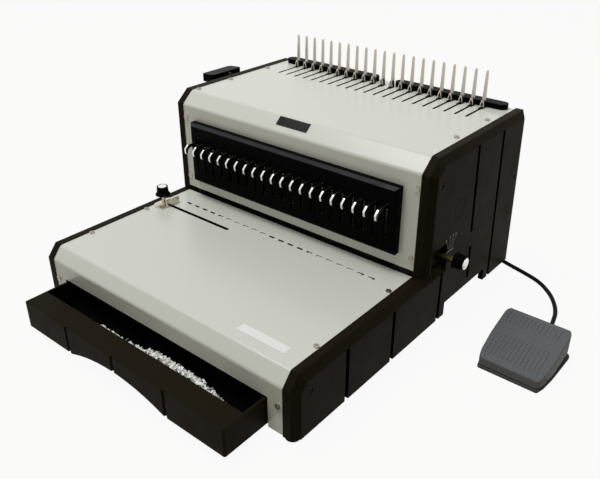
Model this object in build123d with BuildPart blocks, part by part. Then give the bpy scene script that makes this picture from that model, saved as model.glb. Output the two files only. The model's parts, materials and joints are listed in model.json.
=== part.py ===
from build123d import *
from math import acos, atan, atan2, cos, degrees, hypot, pi, radians, sin, sqrt, tan
import os

# Electric comb binding machine with a foot pedal. Millimetres, +Z up, X along the rows of holes.
# The origin is on the table, under the middle of the machine without its pedal and drawer.

# Rows of holes, fingers and pull levers
hole_pitch = 14.2875
hole_count = 21
hole_length = 8.0
hole_width = 3.0
row_x = [(number - (hole_count - 1) / 2) * hole_pitch for number in range(hole_count)]

# Widths of the machine, counted outwards from the end of the row
yoke_room = 9.125
frame_plate = 4.0
gear_room = 15.5
cap_gap = 0.1
frame_inner_x = row_x[-1] + hole_length / 2 + yoke_room
frame_outer_x = frame_inner_x + frame_plate
block_half = frame_inner_x - 0.1
cover_half_width = frame_outer_x + gear_room
cap_inner_x = cover_half_width + cap_gap
cap_ridge_x = cap_inner_x + 8.9
cap_side_x = cap_ridge_x + 6.5
lip_inner_x = cap_inner_x - 9.6
screw_x = cover_half_width - 4.0
foot_x = cover_half_width + 2.5

# Outline of the machine, seen from the side
cap_bevel = 8.0
foot_height = 8.0
front_y = -217.6
front_edge_z = 63.4
tray_front_y = -206.0
tray_z = 77.4
tray_rear_y = -5.2
upper_front_y = -4.0
upper_low_z = 84.0
upper_edge_z = 196.2
top_front_y = 12.8
top_z = 210.5
top_rear_y = 205.0
rear_bottom_y = 217.6
sheet = 1.2
cap_proud = 1.0

# Screws that hold the covers to the caps
screw_hole = 2.1
screw_pilot = 1.95
tray_screws = [(screw_x, -165.2), (screw_x, -45.4), (-screw_x - 0.5, -81.4), (-screw_x - 0.5, -164.5)]
front_screws = [(-screw_x + 1.5, 41.0), (screw_x - 1.5, 41.0)]
upper_screws = [
    (-screw_x + 0.5, 180.0), (screw_x - 0.5, 180.0), (-screw_x + 0.5, 99.2), (screw_x - 0.5, 98.8),
]
top_screws = [
    (screw_x - 3.5, 76.0), (screw_x - 3.5, 147.0), (-screw_x + 1.5, 20.2), (-screw_x + 1.5, 78.0),
    (-screw_x + 1.5, 151.0),
]

# Die set and throat
die_front_y = 0.0
die_rear_y = 16.5
die_low_z = 56.0
die_top_z = 77.0
throat_top_z = 84.4
guide_block_top_z = 104.0
punch_y = 8.0

# Punch drive
stroke = 11.0
throw = stroke / 2
drive_y = 23.0
drive_z = 172.0
cam_radius = 10.5
drive_shaft_radius = 4.5
gear_module = 1.5
drive_teeth = 24
motor_teeth = 18
motor_shaft_radius = 4.0
gear_distance = gear_module * (drive_teeth + motor_teeth) / 2
motor_y = 52.0
motor_z = drive_z - sqrt(gear_distance**2 - (motor_y - drive_y)**2)
ram_low_z = 143.0
ram_top_z = 162.0
ram_rear_y = 18.4

# Pull levers
lever_half = 1.25
lever_low_z = 148.0
lever_top_z = 157.0
lever_step_y = 12.5
lever_rear_y = 18.0
lever_nose_y = -35.2

# Comb opener
opener_y = 145.0
opener_z = 177.0
opener_teeth = 28
opener_radius = gear_module * opener_teeth / 2
opener_shaft_radius = 6.0
hook_y = 183.0
hook_plate_low_z = 203.5
hook_plate_top_z = 205.5
finger_y = 186.8
finger_tip_z = 254.8

# Depth dial and the pocket that it stands in
dial_y = 33.0
dial_z = 92.0
stop_rod_radius = 4.0
stop_disc_radius = 12.0
stop_offset = 1.3
dial_notch_y0 = 5.0
dial_notch_y1 = 39.5
dial_notch_top_z = 107.0
dial_notch_x = cap_inner_x + 6.4
dial_knob_x = cap_side_x + 13.5
dial_knob_length = 12.0

# Chip drawer, as far out as the photograph shows it
drawer_half_width = frame_inner_x - 1.4
drawer_front_y = -272.0
drawer_length = 264.0
drawer_low_z = 10.0
drawer_top_z = 42.0
drawer_wall = 2.5

# Side guide on the tray
guide_post_x = -cover_half_width + 5.0
guide_post_y = -54.5
guide_slot_end_x = -52.7
guide_slot_width = 4.8

# Foot pedal
pedal_x = 294.5
pedal_front_y = -5.0
pedal_rear_y = 75.0
pedal_front_half = 33.0
pedal_half_width = 37.0
pedal_taper_y = 26.0
pedal_base_top_z = 3.0
pedal_pin_y = 11.0
pedal_pin_z = 8.0
pedal_pin_radius = 1.5
treadle_front_y = -3.8
treadle_rear_y = 69.0
treadle_front_z = 13.2
treadle_middle_y = 40.0
treadle_middle_z = 29.7
treadle_rear_z = 37.8
treadle_rear_corner = 10.0
treadle_wall = 2.6
pedal_groove_pitch = 4.75
pedal_groove_count = 13
pedal_groove_depth = 0.5

# Cord between the machine and its pedal
cord_radius = 2.5
coil_x = 90.0
coil_y = 265.0
coil_radius = 27.5
machine_route = [
    (150, 234, 26), (150, 248.5, 26), (149.5, 263, 19), (146, 276, 9.5),
    (137, 287.5, 3.5), (123, 295, 2.5), (107, 297.5, 2.5), (92, 297.5, 2.5),
]
pedal_route = [
    (90, 232.5, 7.5), (115, 231.5, 4.5), (142, 227, 2.5), (169, 219, 2.5), (196, 209.5, 2.5),
    (221, 202.5, 2.5), (244, 194.5, 2.5), (263, 179.5, 2.5), (277.5, 161.5, 2.5), (288, 141, 2.5),
    (292.5, 121, 2.5), (295.4, 106, 3), (295, 92, 5.5), (295, 79, 5.5),
]


def block(x0, x1, y0, y1, z0, z1, mode=Mode.ADD):
    """Box between two opposite corners."""
    with Locations(((x0 + x1) / 2, (y0 + y1) / 2, (z0 + z1) / 2)):
        Box(x1 - x0, y1 - y0, z1 - z0, mode=mode)


def rod_x(x0, x1, y, z, radius, mode=Mode.ADD):
    """Round bar along X."""
    with Locations(Location(((x0 + x1) / 2, y, z), (0, 90, 0))):
        Cylinder(radius, x1 - x0, mode=mode)


def rod_z(x, y, z0, z1, radius, mode=Mode.ADD):
    """Round bar along Z."""
    with Locations((x, y, (z0 + z1) / 2)):
        Cylinder(radius, z1 - z0, mode=mode)


def side_profile(points, x0, x1, mode=Mode.ADD):
    """Flat outline given as (y, z) points, extruded along X."""
    with BuildSketch(Plane(origin=(x0, 0, 0), x_dir=(0, 1, 0), z_dir=(1, 0, 0))) as outline:
        with BuildLine():
            Polyline(*points, close=True)
        make_face()
    extrude(outline.sketch, amount=x1 - x0, dir=(1, 0, 0), mode=mode)


def offset_points(points, distances, closed):
    """Points moved to the left of their run by each run's own distance, with mitred corners."""
    count = len(points)
    runs = count if closed else count - 1
    lines = []
    for index in range(runs):
        start = points[index]
        end = points[(index + 1) % count]
        length = hypot(end[0] - start[0], end[1] - start[1])
        along = ((end[0] - start[0]) / length, (end[1] - start[1]) / length)
        move = distances[index]
        lines.append(((start[0] - along[1] * move, start[1] + along[0] * move), along))
    moved = []
    for index in range(count):
        if not closed and index == 0:
            moved.append(lines[0][0])
            continue
        if not closed and index == count - 1:
            base, along = lines[-1]
            reach = hypot(points[-1][0] - points[-2][0], points[-1][1] - points[-2][1])
            moved.append((base[0] + along[0] * reach, base[1] + along[1] * reach))
            continue
        (p, d) = lines[index - 1]
        (q, e) = lines[index % runs]
        cross = d[0] * e[1] - d[1] * e[0]
        step = ((q[0] - p[0]) * e[1] - (q[1] - p[1]) * e[0]) / cross
        moved.append((p[0] + d[0] * step, p[1] + d[1] * step))
    return moved


def bent_sheet(points, thickness):
    """Closed outline of a bent sheet whose outer face follows the points."""
    inner = offset_points(points, [thickness] * (len(points) - 1), closed=False)
    return points + inner[::-1]


def gear_outline(teeth, start_angle, backlash=0.2, pressure=radians(20)):
    """Involute gear outline as (y, z) points about its own centre."""
    pitch_radius = gear_module * teeth / 2
    base_radius = pitch_radius * cos(pressure)
    tip_radius = pitch_radius + 0.9 * gear_module
    root_radius = pitch_radius - 1.25 * gear_module
    half_tooth = pi / (2 * teeth) - backlash / (2 * pitch_radius)
    pitch_roll = tan(pressure) - pressure
    flank = []
    for step in range(6):
        radius = max(base_radius, root_radius) + (tip_radius - max(base_radius, root_radius)) * step / 5
        angle = acos(min(1.0, base_radius / radius))
        flank.append((radius, half_tooth + pitch_roll - (tan(angle) - angle)))
    points = []
    for tooth in range(teeth):
        middle = start_angle + 2 * pi * tooth / teeth
        side = [(root_radius, middle - flank[0][1])] if root_radius < base_radius else []
        side += [(radius, middle - offset) for radius, offset in flank]
        side += [(radius, middle + offset) for radius, offset in reversed(flank)]
        if root_radius < base_radius:
            side.append((root_radius, middle + flank[0][1]))
        points += [(radius * cos(angle), radius * sin(angle)) for radius, angle in side]
    return points


def moved_points(points, y, z):
    return [(point[0] + y, point[1] + z) for point in points]


def route_radii(points):
    """Largest tangent arc at each corner of a cord's route."""
    vectors = [Vector(*point) for point in points]
    radii = []
    for before, here, after in zip(vectors, vectors[1:], vectors[2:]):
        turn = radians((here - before).get_angle(after - here))
        shorter = min((here - before).length, (after - here).length)
        radii.append(0.45 * shorter / tan(turn / 2))
    return radii


def cord_tube(points):
    """Round tube along a route of straight runs joined by tangent arcs."""
    radii = route_radii(points)
    print("cord radii", [round(radius, 1) for radius in radii])
    with BuildLine() as path:
        FilletPolyline(*points, radius=radii)
    start = Vector(*points[0])
    direction = Vector(*points[1]) - start
    with BuildSketch(Plane(origin=start, z_dir=direction)) as section:
        Circle(cord_radius)
    sweep(section.sketch, path=path.wires()[0])
    length = path.wires()[0].length
    print("cord length", round(length, 1), "section times length", round(pi * cord_radius**2 * length, 1))


# Side caps, one moulding on each side
ridge_outline = [
    (front_y - cap_proud, foot_height),
    (rear_bottom_y + cap_proud, foot_height),
    (top_rear_y + cap_proud, top_z + cap_proud),
    (top_front_y - 0.4, top_z + cap_proud),
    (upper_front_y - cap_proud, upper_edge_z + 0.4),
    (upper_front_y - cap_proud, tray_z + cap_proud),
    (tray_front_y - 0.4, tray_z + cap_proud),
    (front_y - cap_proud, front_edge_z + 0.6),
]
face_outline = offset_points(ridge_outline, [0.0] + [cap_bevel] * 7, closed=True)
pocket_outline = offset_points(ridge_outline, [0.0] + [6.0] * 7, closed=True)
groove_width = 5.4
groove_depth = 4.6
moulding_depth = 0.6
upper_groove_top_z = top_z - 6.5
arch_front_y = 46.5
arch_rear_y = 144.0
arch_top_z = 24.5
lean = (rear_bottom_y - top_rear_y) / (top_z - foot_height)
lip_path = [
    (front_y, foot_height + 4), (front_y, front_edge_z), (tray_front_y, tray_z),
    (upper_front_y, tray_z), (upper_front_y, upper_edge_z), (top_front_y, top_z),
    (top_rear_y, top_z), (rear_bottom_y, foot_height + 4),
]
lip_gap = sheet + 0.2
lip_outer = offset_points(lip_path, [-lip_gap] * 6 + [-lip_gap - 0.6], closed=False)
lip_inner = offset_points(lip_path, [-lip_gap - 2.5] * 6 + [-lip_gap - 3.1], closed=False)
lip_outline = lip_outer + lip_inner[::-1]


def leaning_groove(y_top, z_top, z_low, side):
    """Groove in the side face that leans with the rear edge."""
    y_low = y_top + lean * (z_top - z_low)
    outline = [
        (y_top - groove_width / 2, z_top), (y_top + groove_width / 2, z_top),
        (y_low + groove_width / 2, z_low), (y_low - groove_width / 2, z_low),
    ]
    x0 = min(side * (cap_side_x - groove_depth), side * (cap_side_x + 1))
    side_profile(outline, x0, x0 + groove_depth + 1, mode=Mode.SUBTRACT)


def side_cap(side):
    """One side cap. side is 1 on the right and -1 on the left."""

    def plane_at(x):
        return Plane(origin=(side * x, 0, 0), x_dir=(0, 1, 0), z_dir=(1, 0, 0))

    def cut(x0, x1, y0, y1, z0, z1):
        block(min(side * x0, side * x1), max(side * x0, side * x1), y0, y1, z0, z1, mode=Mode.SUBTRACT)

    x_low = min(side * cap_inner_x, side * cap_ridge_x)
    side_profile(ridge_outline, x_low, x_low + cap_ridge_x - cap_inner_x)
    layers = []
    for x, outline in ((cap_ridge_x, ridge_outline), (cap_side_x, face_outline)):
        with BuildSketch(plane_at(x)) as layer:
            with BuildLine():
                Polyline(*outline, close=True)
            make_face()
        layers.append(layer.sketch)
    loft(layers, ruled=True)
    # flange under the edges of the covers, which are screwed to it
    x_lip = min(side * lip_inner_x, side * cap_ridge_x)
    side_profile(lip_outline, x_lip, x_lip + cap_ridge_x - lip_inner_x)
    cut(lip_inner_x - 1, cap_inner_x, arch_front_y - 2.5, arch_rear_y + 2.0, 0, arch_top_z + 5.5)
    cut(lip_inner_x - 1, cap_inner_x, tray_rear_y - sheet - 0.4, tray_rear_y + 0.3, 60.0, tray_z)
    # hollow inside, open towards the machine
    x_pocket = min(side * (cap_inner_x - 1), side * (cap_inner_x + 9))
    side_profile(pocket_outline, x_pocket, x_pocket + 10, mode=Mode.SUBTRACT)
    # raised arch between the front and rear legs
    cut(lip_inner_x - 1, cap_side_x + 1, arch_front_y, arch_rear_y, 0, arch_top_z)
    # straight grooves low on the side
    for y in (-141.6, -62.5, 32.0):
        cut(cap_side_x - groove_depth, cap_side_x + 1, y - groove_width / 2, y + groove_width / 2, 0, 70)
    # leaning grooves on the upper half
    leaning_groove(86.5, upper_groove_top_z, 97.5, side)
    leaning_groove(95.5, 77.5, 34.0, side)
    leaning_groove(145.5, upper_groove_top_z, 0.0, side)
    # holes for the screws that hold the cap
    for y, z in ((-197.5, 57.3), (11.3, 183.2), (194.0, 131.7)):
        x_hole = side * (cap_side_x - 2)
        rod_x(min(x_hole, x_hole + side * 4), max(x_hole, x_hole + side * 4), y, z, 3.4, mode=Mode.SUBTRACT)
    # pilot holes for the cover screws
    for x, y in tray_screws:
        if x * side > 0:
            rod_z(x, y, tray_z - 8, tray_z, screw_pilot, mode=Mode.SUBTRACT)
    for x, y in top_screws:
        if x * side > 0:
            rod_z(x, y, top_z - 8, top_z, screw_pilot, mode=Mode.SUBTRACT)
    for y0, screws in ((front_y, front_screws), (upper_front_y, upper_screws)):
        for x, z in screws:
            if x * side > 0:
                with Locations(Location((x, y0 + 4, z), (90, 0, 0))):
                    Cylinder(screw_pilot, 8, mode=Mode.SUBTRACT)
    # thin lines left by the moulding: a circle, and a half circle between the two leaning grooves
    with BuildSketch(plane_at(cap_side_x - moulding_depth)) as lines:
        with Locations((57.3, 140.8)):
            Circle(11.4)
            Circle(10.6, mode=Mode.SUBTRACT)
        with Locations((99.5, 87.5)):
            Circle(11.2)
            Circle(10.4, mode=Mode.SUBTRACT)
        with Locations((87.0, 87.5)):
            Rectangle(20.0, 30.0, mode=Mode.SUBTRACT)
    extrude(lines.sketch, amount=moulding_depth + 1, dir=(side, 0, 0), mode=Mode.SUBTRACT)


with BuildPart() as right_side_cap:
    side_cap(1)
    # pocket that the dial's rod comes out of, with a wall behind it, and the tray's sloped edge
    # running on under it
    block(cap_inner_x, dial_notch_x + 4.0, dial_notch_y0 - 2.5, dial_notch_y1 + 2.5, tray_z - 2.0,
          dial_notch_top_z + 2.5)
    block(dial_notch_x, cap_side_x + 1, dial_notch_y0, dial_notch_y1, tray_z + cap_proud, dial_notch_top_z,
          mode=Mode.SUBTRACT)
    with BuildSketch(Plane(origin=(0, upper_front_y - 2, 0), x_dir=(1, 0, 0), z_dir=(0, -1, 0))) as slope:
        with BuildLine():
            Polyline(
                (cap_ridge_x, tray_z + cap_proud), (cap_side_x + 1, tray_z + cap_proud - 10.3),
                (cap_side_x + 1, tray_z + cap_proud), close=True,
            )
        make_face()
    extrude(slope.sketch, amount=dial_notch_y1 - upper_front_y + 2, dir=(0, 1, 0), mode=Mode.SUBTRACT)
    rod_x(cap_inner_x - 1, cap_side_x + 1, dial_y, dial_z, 6.5, mode=Mode.SUBTRACT)
right_side_cap.part.label = "right_side_cap"

with BuildPart() as left_side_cap:
    side_cap(-1)
    rod_x(-cap_side_x - 1, -cap_inner_x + 1, opener_y, opener_z, opener_shaft_radius + 1.2,
          mode=Mode.SUBTRACT)
    block(-cap_inner_x, -lip_inner_x + 1, guide_post_y - 17.0, guide_post_y + 14.6, 68.0, tray_z,
          mode=Mode.SUBTRACT)
left_side_cap.part.label = "left_side_cap"

# Tray cover: front face, sloped edge and paper tray in one bent sheet
tray_outline = bent_sheet(
    [
        (front_y, foot_height + 0.2), (front_y, front_edge_z), (tray_front_y, tray_z),
        (tray_rear_y, tray_z), (tray_rear_y, tray_z - 14),
    ],
    -sheet,
)
tray_slot_y = -34.7
drawer_opening_half = drawer_half_width + 2.2
drawer_opening_z = drawer_top_z + 2.0
with BuildPart() as tray_cover:
    side_profile(tray_outline, -cover_half_width, cover_half_width)
    for side in (-1, 1):
        x_end = side * cover_half_width
        block(min(x_end, x_end - side * 11), max(x_end, x_end - side * 11), tray_rear_y - 3,
              tray_rear_y + 1, tray_z - 16, tray_z - sheet, mode=Mode.SUBTRACT)
    with Locations(*[(x, tray_slot_y, tray_z) for x in row_x]):
        Box(hole_length, hole_width, 6, mode=Mode.SUBTRACT)
    slot_half = guide_slot_width / 2
    block(-cover_half_width + 1.6, guide_slot_end_x - slot_half, guide_post_y - slot_half,
          guide_post_y + slot_half, tray_z - 4, tray_z + 2, mode=Mode.SUBTRACT)
    rod_z(guide_slot_end_x - slot_half, guide_post_y, tray_z - 4, tray_z + 2, slot_half, mode=Mode.SUBTRACT)
    block(-drawer_opening_half, drawer_opening_half, front_y - 3, front_y + 3, 0, drawer_opening_z,
          mode=Mode.SUBTRACT)
    with Locations(*[(x, y, tray_z) for x, y in tray_screws]):
        Cylinder(screw_hole, 6, mode=Mode.SUBTRACT)
    with Locations(*[Location((x, front_y, z), (90, 0, 0)) for x, z in front_screws]):
        Cylinder(screw_hole, 6, mode=Mode.SUBTRACT)
tray_cover.part.label = "tray_cover"

# White strip under the tray's slots, with windows where the slots look dark
strip_half = frame_inner_x
strip_y0 = tray_slot_y - 9
strip_y1 = tray_slot_y + 9
strip_windows = [
    (-152.0, -87.2), (-84.2, -80.5), (-6.0, 55.6), (58.7, 62.5), (128.6, 134.0), (142.9, 150.0),
]
with BuildPart() as slot_backing_strip:
    block(-strip_half, strip_half, strip_y0, strip_y1, tray_z - sheet - 0.8, tray_z - sheet)
    for x0, x1 in strip_windows:
        block(x0, x1, tray_slot_y - 6, tray_slot_y + 6, tray_z - 5, tray_z, mode=Mode.SUBTRACT)
slot_backing_strip.part.label = "slot_backing_strip"

# Upper cover: front face, sloped edge and top in one bent sheet
upper_outline = bent_sheet(
    [
        (upper_front_y, upper_low_z), (upper_front_y, upper_edge_z), (top_front_y, top_z),
        (top_rear_y - sheet - 0.1, top_z),
    ],
    -sheet,
)
finger_slot_front_y = 143.1
finger_slot_rear_y = 180.0
finger_slot_width = 3.2
notch_width = 6.4
notch_front_y = 178.0
opening_rear_y = finger_y + 1.4
with BuildPart() as upper_cover:
    side_profile(upper_outline, -cover_half_width, cover_half_width)
    block(-149.0, 149.0, upper_front_y - 3, upper_front_y + 3, 112.0, 166.0, mode=Mode.SUBTRACT)
    slot_middle = (finger_slot_front_y + finger_slot_rear_y) / 2
    with Locations(*[(x, slot_middle, top_z) for x in row_x]):
        Box(finger_slot_width, finger_slot_rear_y - finger_slot_front_y, 6, mode=Mode.SUBTRACT)
    with Locations(*[(x, (notch_front_y + opening_rear_y) / 2, top_z) for x in row_x]):
        Box(notch_width, opening_rear_y - notch_front_y, 6, mode=Mode.SUBTRACT)
    with Locations(*[Location((x, upper_front_y, z), (90, 0, 0)) for x, z in upper_screws]):
        Cylinder(screw_hole, 6, mode=Mode.SUBTRACT)
    with Locations(*[(x, y, top_z) for x, y in top_screws]):
        Cylinder(screw_hole, 6, mode=Mode.SUBTRACT)
upper_cover.part.label = "upper_cover"

# Bezel with a vertical slot for each pull lever
bezel_half = frame_inner_x - 0.7
bezel_low_z = 99.5
bezel_high_z = 178.5
bezel_depth = 11.0
bezel_front_y = upper_front_y - 0.1 - bezel_depth
lever_slot_low_z = 116.5
lever_slot_top_z = 159.5
with BuildPart() as lever_bezel:
    block(-bezel_half, bezel_half, bezel_front_y, upper_front_y - 0.1, bezel_low_z, bezel_high_z)
    chamfer(lever_bezel.edges().filter_by_position(Axis.Y, bezel_front_y - 0.1, bezel_front_y + 0.1), 3.5)
    block(-bezel_half + 3, bezel_half - 3, bezel_front_y + 3, upper_front_y + 1, bezel_low_z + 3,
          bezel_high_z - 3, mode=Mode.SUBTRACT)
    with Locations(*[(x, bezel_front_y, (lever_slot_low_z + lever_slot_top_z) / 2) for x in row_x]):
        Box(2 * lever_half + 1.0, 12, lever_slot_top_z - lever_slot_low_z, mode=Mode.SUBTRACT)
lever_bezel.part.label = "lever_bezel"

# Rear cover, leaning like the caps
rear_top = (top_rear_y, top_z - 0.1)
rear_low = (rear_bottom_y - 0.6, foot_height + 2.2)
rear_outline = bent_sheet([rear_top, rear_low], -sheet)
inlet_x = -110.0
inlet_z = 60.0
gland_x, gland_tip_y, gland_z = machine_route[0]
vent_rows = 7
vent_low_z = 110.0
vent_pitch = 9.0
with BuildPart() as rear_cover:
    side_profile(rear_outline, -cover_half_width, cover_half_width)
    block(inlet_x - 14.2, inlet_x + 14.2, 195, 230, inlet_z - 24.4, inlet_z + 24.4, mode=Mode.SUBTRACT)
    for row in range(vent_rows):
        z = vent_low_z + row * vent_pitch
        for x in (-90, 0, 90):
            block(x - 32, x + 32, 195, 230, z - 1.8, z + 1.8, mode=Mode.SUBTRACT)
    with Locations(Location((gland_x, 215, gland_z), (90, 0, 0))):
        Cylinder(6.2, 30, mode=Mode.SUBTRACT)
rear_cover.part.label = "rear_cover"

# Base: front floor under the drawer, raised middle and rear pan, folded from one sheet
base_sheet = 1.5
base_arch_y0 = arch_front_y + 1.0
base_arch_y1 = arch_rear_y - 1.5
base_arch_z = arch_top_z + 1.5
base_outline = [
    (front_y + 3, foot_height), (base_arch_y0, foot_height), (base_arch_y0, base_arch_z),
    (base_arch_y1, base_arch_z), (base_arch_y1, foot_height), (rear_bottom_y - 4, foot_height),
    (rear_bottom_y - 4, foot_height + base_sheet), (base_arch_y1 + base_sheet, foot_height + base_sheet),
    (base_arch_y1 + base_sheet, base_arch_z + base_sheet),
    (base_arch_y0 - base_sheet, base_arch_z + base_sheet),
    (base_arch_y0 - base_sheet, foot_height + base_sheet), (front_y + 3, foot_height + base_sheet),
]
with BuildPart() as base_plate:
    side_profile(base_outline, -cover_half_width, cover_half_width)
    for side in (-1, 1):
        x_rail = side * (drawer_half_width + 0.4)
        block(min(x_rail, x_rail + side * 0.9), max(x_rail, x_rail + side * 0.9), front_y + 8, 45.0,
              foot_height + base_sheet, 20.0)
base_plate.part.label = "base_plate"

# Feet
foot_places = [(-foot_x, -207.0), (foot_x, -207.0), (-foot_x, 190.0), (foot_x, 190.0)]
with BuildPart() as feet:
    for x, y in foot_places:
        with Locations((x, y, foot_height / 2)):
            Cylinder(7.7, foot_height)
    chamfer(feet.edges().filter_by_position(Axis.Z, -0.1, 0.1), 1.2)
feet.part.label = "feet"


def pan_screw(location):
    """Pan head screw. Its local +Z points out of the head."""
    with Locations(location):
        with Locations((0, 0, 0.75)):
            Cylinder(3.1, 1.5)
        with Locations((0, 0, -3.5)):
            Cylinder(1.9, 7.0)
        with Locations((0, 0, 1.5)):
            Box(4.4, 0.8, 1.2, mode=Mode.SUBTRACT)
            Box(0.8, 4.4, 1.2, mode=Mode.SUBTRACT)


with BuildPart() as cover_screws:
    for x, y in tray_screws:
        pan_screw(Location((x, y, tray_z)))
    for x, y in top_screws:
        pan_screw(Location((x, y, top_z)))
    for x, z in front_screws:
        pan_screw(Location((x, front_y, z), (90, 0, 0)))
    for x, z in upper_screws:
        pan_screw(Location((x, upper_front_y, z), (90, 0, 0)))
cover_screws.part.label = "cover_screws"

# Frame: two steel side plates joined by a cross beam that carries the fixed fingers
frame_outline = [
    (front_y + 8, 10.0), (45.0, 10.0), (45.0, 29.0), (200.0, 29.0), (196.0, 205.0), (12.0, 205.0),
    (3.0, 196.0), (3.0, 108.0), (-2.0, 108.0), (-2.0, 54.0), (-20.0, 52.0), (front_y + 8, 52.0),
]
beam_front_y = finger_y + 1.0
with BuildPart() as side_frame:
    for side in (-1, 1):
        x0 = min(side * frame_inner_x, side * (frame_inner_x + frame_plate))
        side_profile(frame_outline, x0, x0 + frame_plate)
    block(-frame_inner_x, frame_inner_x, beam_front_y, 195.0, 188.0, 207.0)
    for side in (-1, 1):
        x_ledge = side * (frame_inner_x - 5)
        block(min(x_ledge, side * frame_inner_x), max(x_ledge, side * frame_inner_x), 86.0, beam_front_y,
              hook_plate_low_z - 2.6, hook_plate_low_z - 0.15)
    bore_x = frame_outer_x + 10.0
    rod_x(-bore_x, bore_x, drive_y, drive_z, drive_shaft_radius + 0.05, mode=Mode.SUBTRACT)
    rod_x(-bore_x, bore_x, opener_y, opener_z, opener_shaft_radius + 0.05, mode=Mode.SUBTRACT)
    rod_x(-bore_x, bore_x, dial_y, dial_z, stop_rod_radius + 0.05, mode=Mode.SUBTRACT)
    rod_x(frame_inner_x - 6.0, bore_x, motor_y, motor_z, motor_shaft_radius + 0.05, mode=Mode.SUBTRACT)
side_frame.part.label = "side_frame"

# Die set
with BuildPart() as die_block:
    block(-block_half, block_half, die_front_y, die_rear_y, die_low_z, die_top_z)
    for side in (-1, 1):
        x_post = side * (block_half - 5.9)
        block(min(x_post, side * block_half), max(x_post, side * block_half), die_front_y, die_rear_y,
              die_top_z, throat_top_z)
    with Locations(*[(x, punch_y, (die_low_z + die_top_z) / 2) for x in row_x]):
        Box(hole_length + 0.3, hole_width + 0.3, die_top_z - die_low_z + 2, mode=Mode.SUBTRACT)
die_block.part.label = "die_block"

with BuildPart() as pin_guide_block:
    block(-block_half, block_half, die_front_y, die_rear_y, throat_top_z, guide_block_top_z)
    with Locations(*[(x, punch_y, (throat_top_z + guide_block_top_z) / 2) for x in row_x]):
        Box(hole_length + 0.2, hole_width + 0.2, guide_block_top_z - throat_top_z + 2, mode=Mode.SUBTRACT)
pin_guide_block.part.label = "pin_guide_block"

# Ram with a yoke at each end, moved down by the cams
yoke_x0 = frame_inner_x - 11.0
yoke_x1 = frame_inner_x - 5.0
window_half_height = cam_radius + 1.4
window_half_width = cam_radius + throw + 0.5
window_z = drive_z + throw
with BuildPart() as punch_ram:
    block(-yoke_x1, yoke_x1, 0.0, ram_rear_y + 3.0, ram_low_z, ram_top_z)
    for side in (-1, 1):
        x0 = min(side * yoke_x0, side * yoke_x1)
        block(x0, x0 + yoke_x1 - yoke_x0, 2.5, 43.0, ram_low_z, window_z + window_half_height + 3.4)
        block(x0 - 1, x0 + yoke_x1 - yoke_x0 + 1, drive_y - window_half_width, drive_y + window_half_width,
              window_z - window_half_height, window_z + window_half_height, mode=Mode.SUBTRACT)
    with Locations(*[(x, ram_rear_y / 2 - 1, (lever_low_z + lever_top_z) / 2) for x in row_x]):
        Box(2 * lever_half + 0.4, ram_rear_y + 2.2, lever_top_z - lever_low_z + 0.4, mode=Mode.SUBTRACT)
    with Locations(*[(x, punch_y, ram_low_z + 2) for x in row_x]):
        Box(hole_length, hole_width, 6.0, mode=Mode.SUBTRACT)
punch_ram.part.label = "punch_ram"

pin_low_z = throat_top_z + 0.4
pin_top_z = ram_low_z + 4.8
with BuildPart() as punch_pins:
    with Locations(*[(x, punch_y, (pin_low_z + pin_top_z) / 2) for x in row_x]):
        Box(hole_length, hole_width, pin_top_z - pin_low_z)
punch_pins.part.label = "punch_pins"

# Pull levers, one for each punch
nose_tip_z = lever_top_z - 11.6
lever_outline = [
    (lever_step_y, lever_low_z), (lever_step_y, lever_low_z + 5.5), (lever_rear_y, lever_low_z + 5.5),
    (lever_rear_y, lever_top_z), (lever_nose_y + 5.8, lever_top_z),
    (lever_nose_y + 4.6, lever_top_z - 0.5), (lever_nose_y + 0.6, lever_top_z - 4.2),
    (lever_nose_y, lever_top_z - 5.6), (lever_nose_y + 0.7, nose_tip_z + 1.2),
    (lever_nose_y + 1.7, nose_tip_z), (lever_nose_y + 3.2, nose_tip_z + 0.4),
    (lever_nose_y + 4.2, lever_top_z - 8.0), (lever_nose_y + 6.0, lever_top_z - 5.4),
    (lever_nose_y + 8.6, lever_top_z - 4.2), (lever_nose_y + 20.0, lever_top_z - 4.2),
    (lever_nose_y + 23.0, lever_low_z),
]
pull_levers = []
for number, x in enumerate(row_x):
    with BuildPart() as lever:
        side_profile(lever_outline, x - lever_half, x + lever_half)
    lever.part.label = "pin_pull_%02d" % (number + 1)
    pull_levers.append(lever.part)

# Cam shaft with its gear
gear_x0 = frame_outer_x + 0.6
gear_x1 = frame_outer_x + 5.0
mesh_angle = atan2(motor_z - drive_z, motor_y - drive_y)
with BuildPart() as cam_shaft:
    rod_x(-frame_outer_x + 0.1, gear_x1 + 1.0, drive_y, drive_z, drive_shaft_radius)
    for side in (-1, 1):
        x0 = min(side * (yoke_x0 - 1), side * (yoke_x1 + 1))
        rod_x(x0, x0 + yoke_x1 - yoke_x0 + 2, drive_y, drive_z + throw, cam_radius)
    side_profile(moved_points(gear_outline(drive_teeth, mesh_angle), drive_y, drive_z), gear_x0, gear_x1)
cam_shaft.part.label = "cam_shaft"

with BuildPart() as motor_pinion:
    pinion_start = mesh_angle + pi + pi / motor_teeth
    side_profile(moved_points(gear_outline(motor_teeth, pinion_start), motor_y, motor_z), gear_x0, gear_x1)
    rod_x(frame_inner_x - 6.0, gear_x1 + 1.0, motor_y, motor_z, motor_shaft_radius)
motor_pinion.part.label = "motor_pinion"

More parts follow.
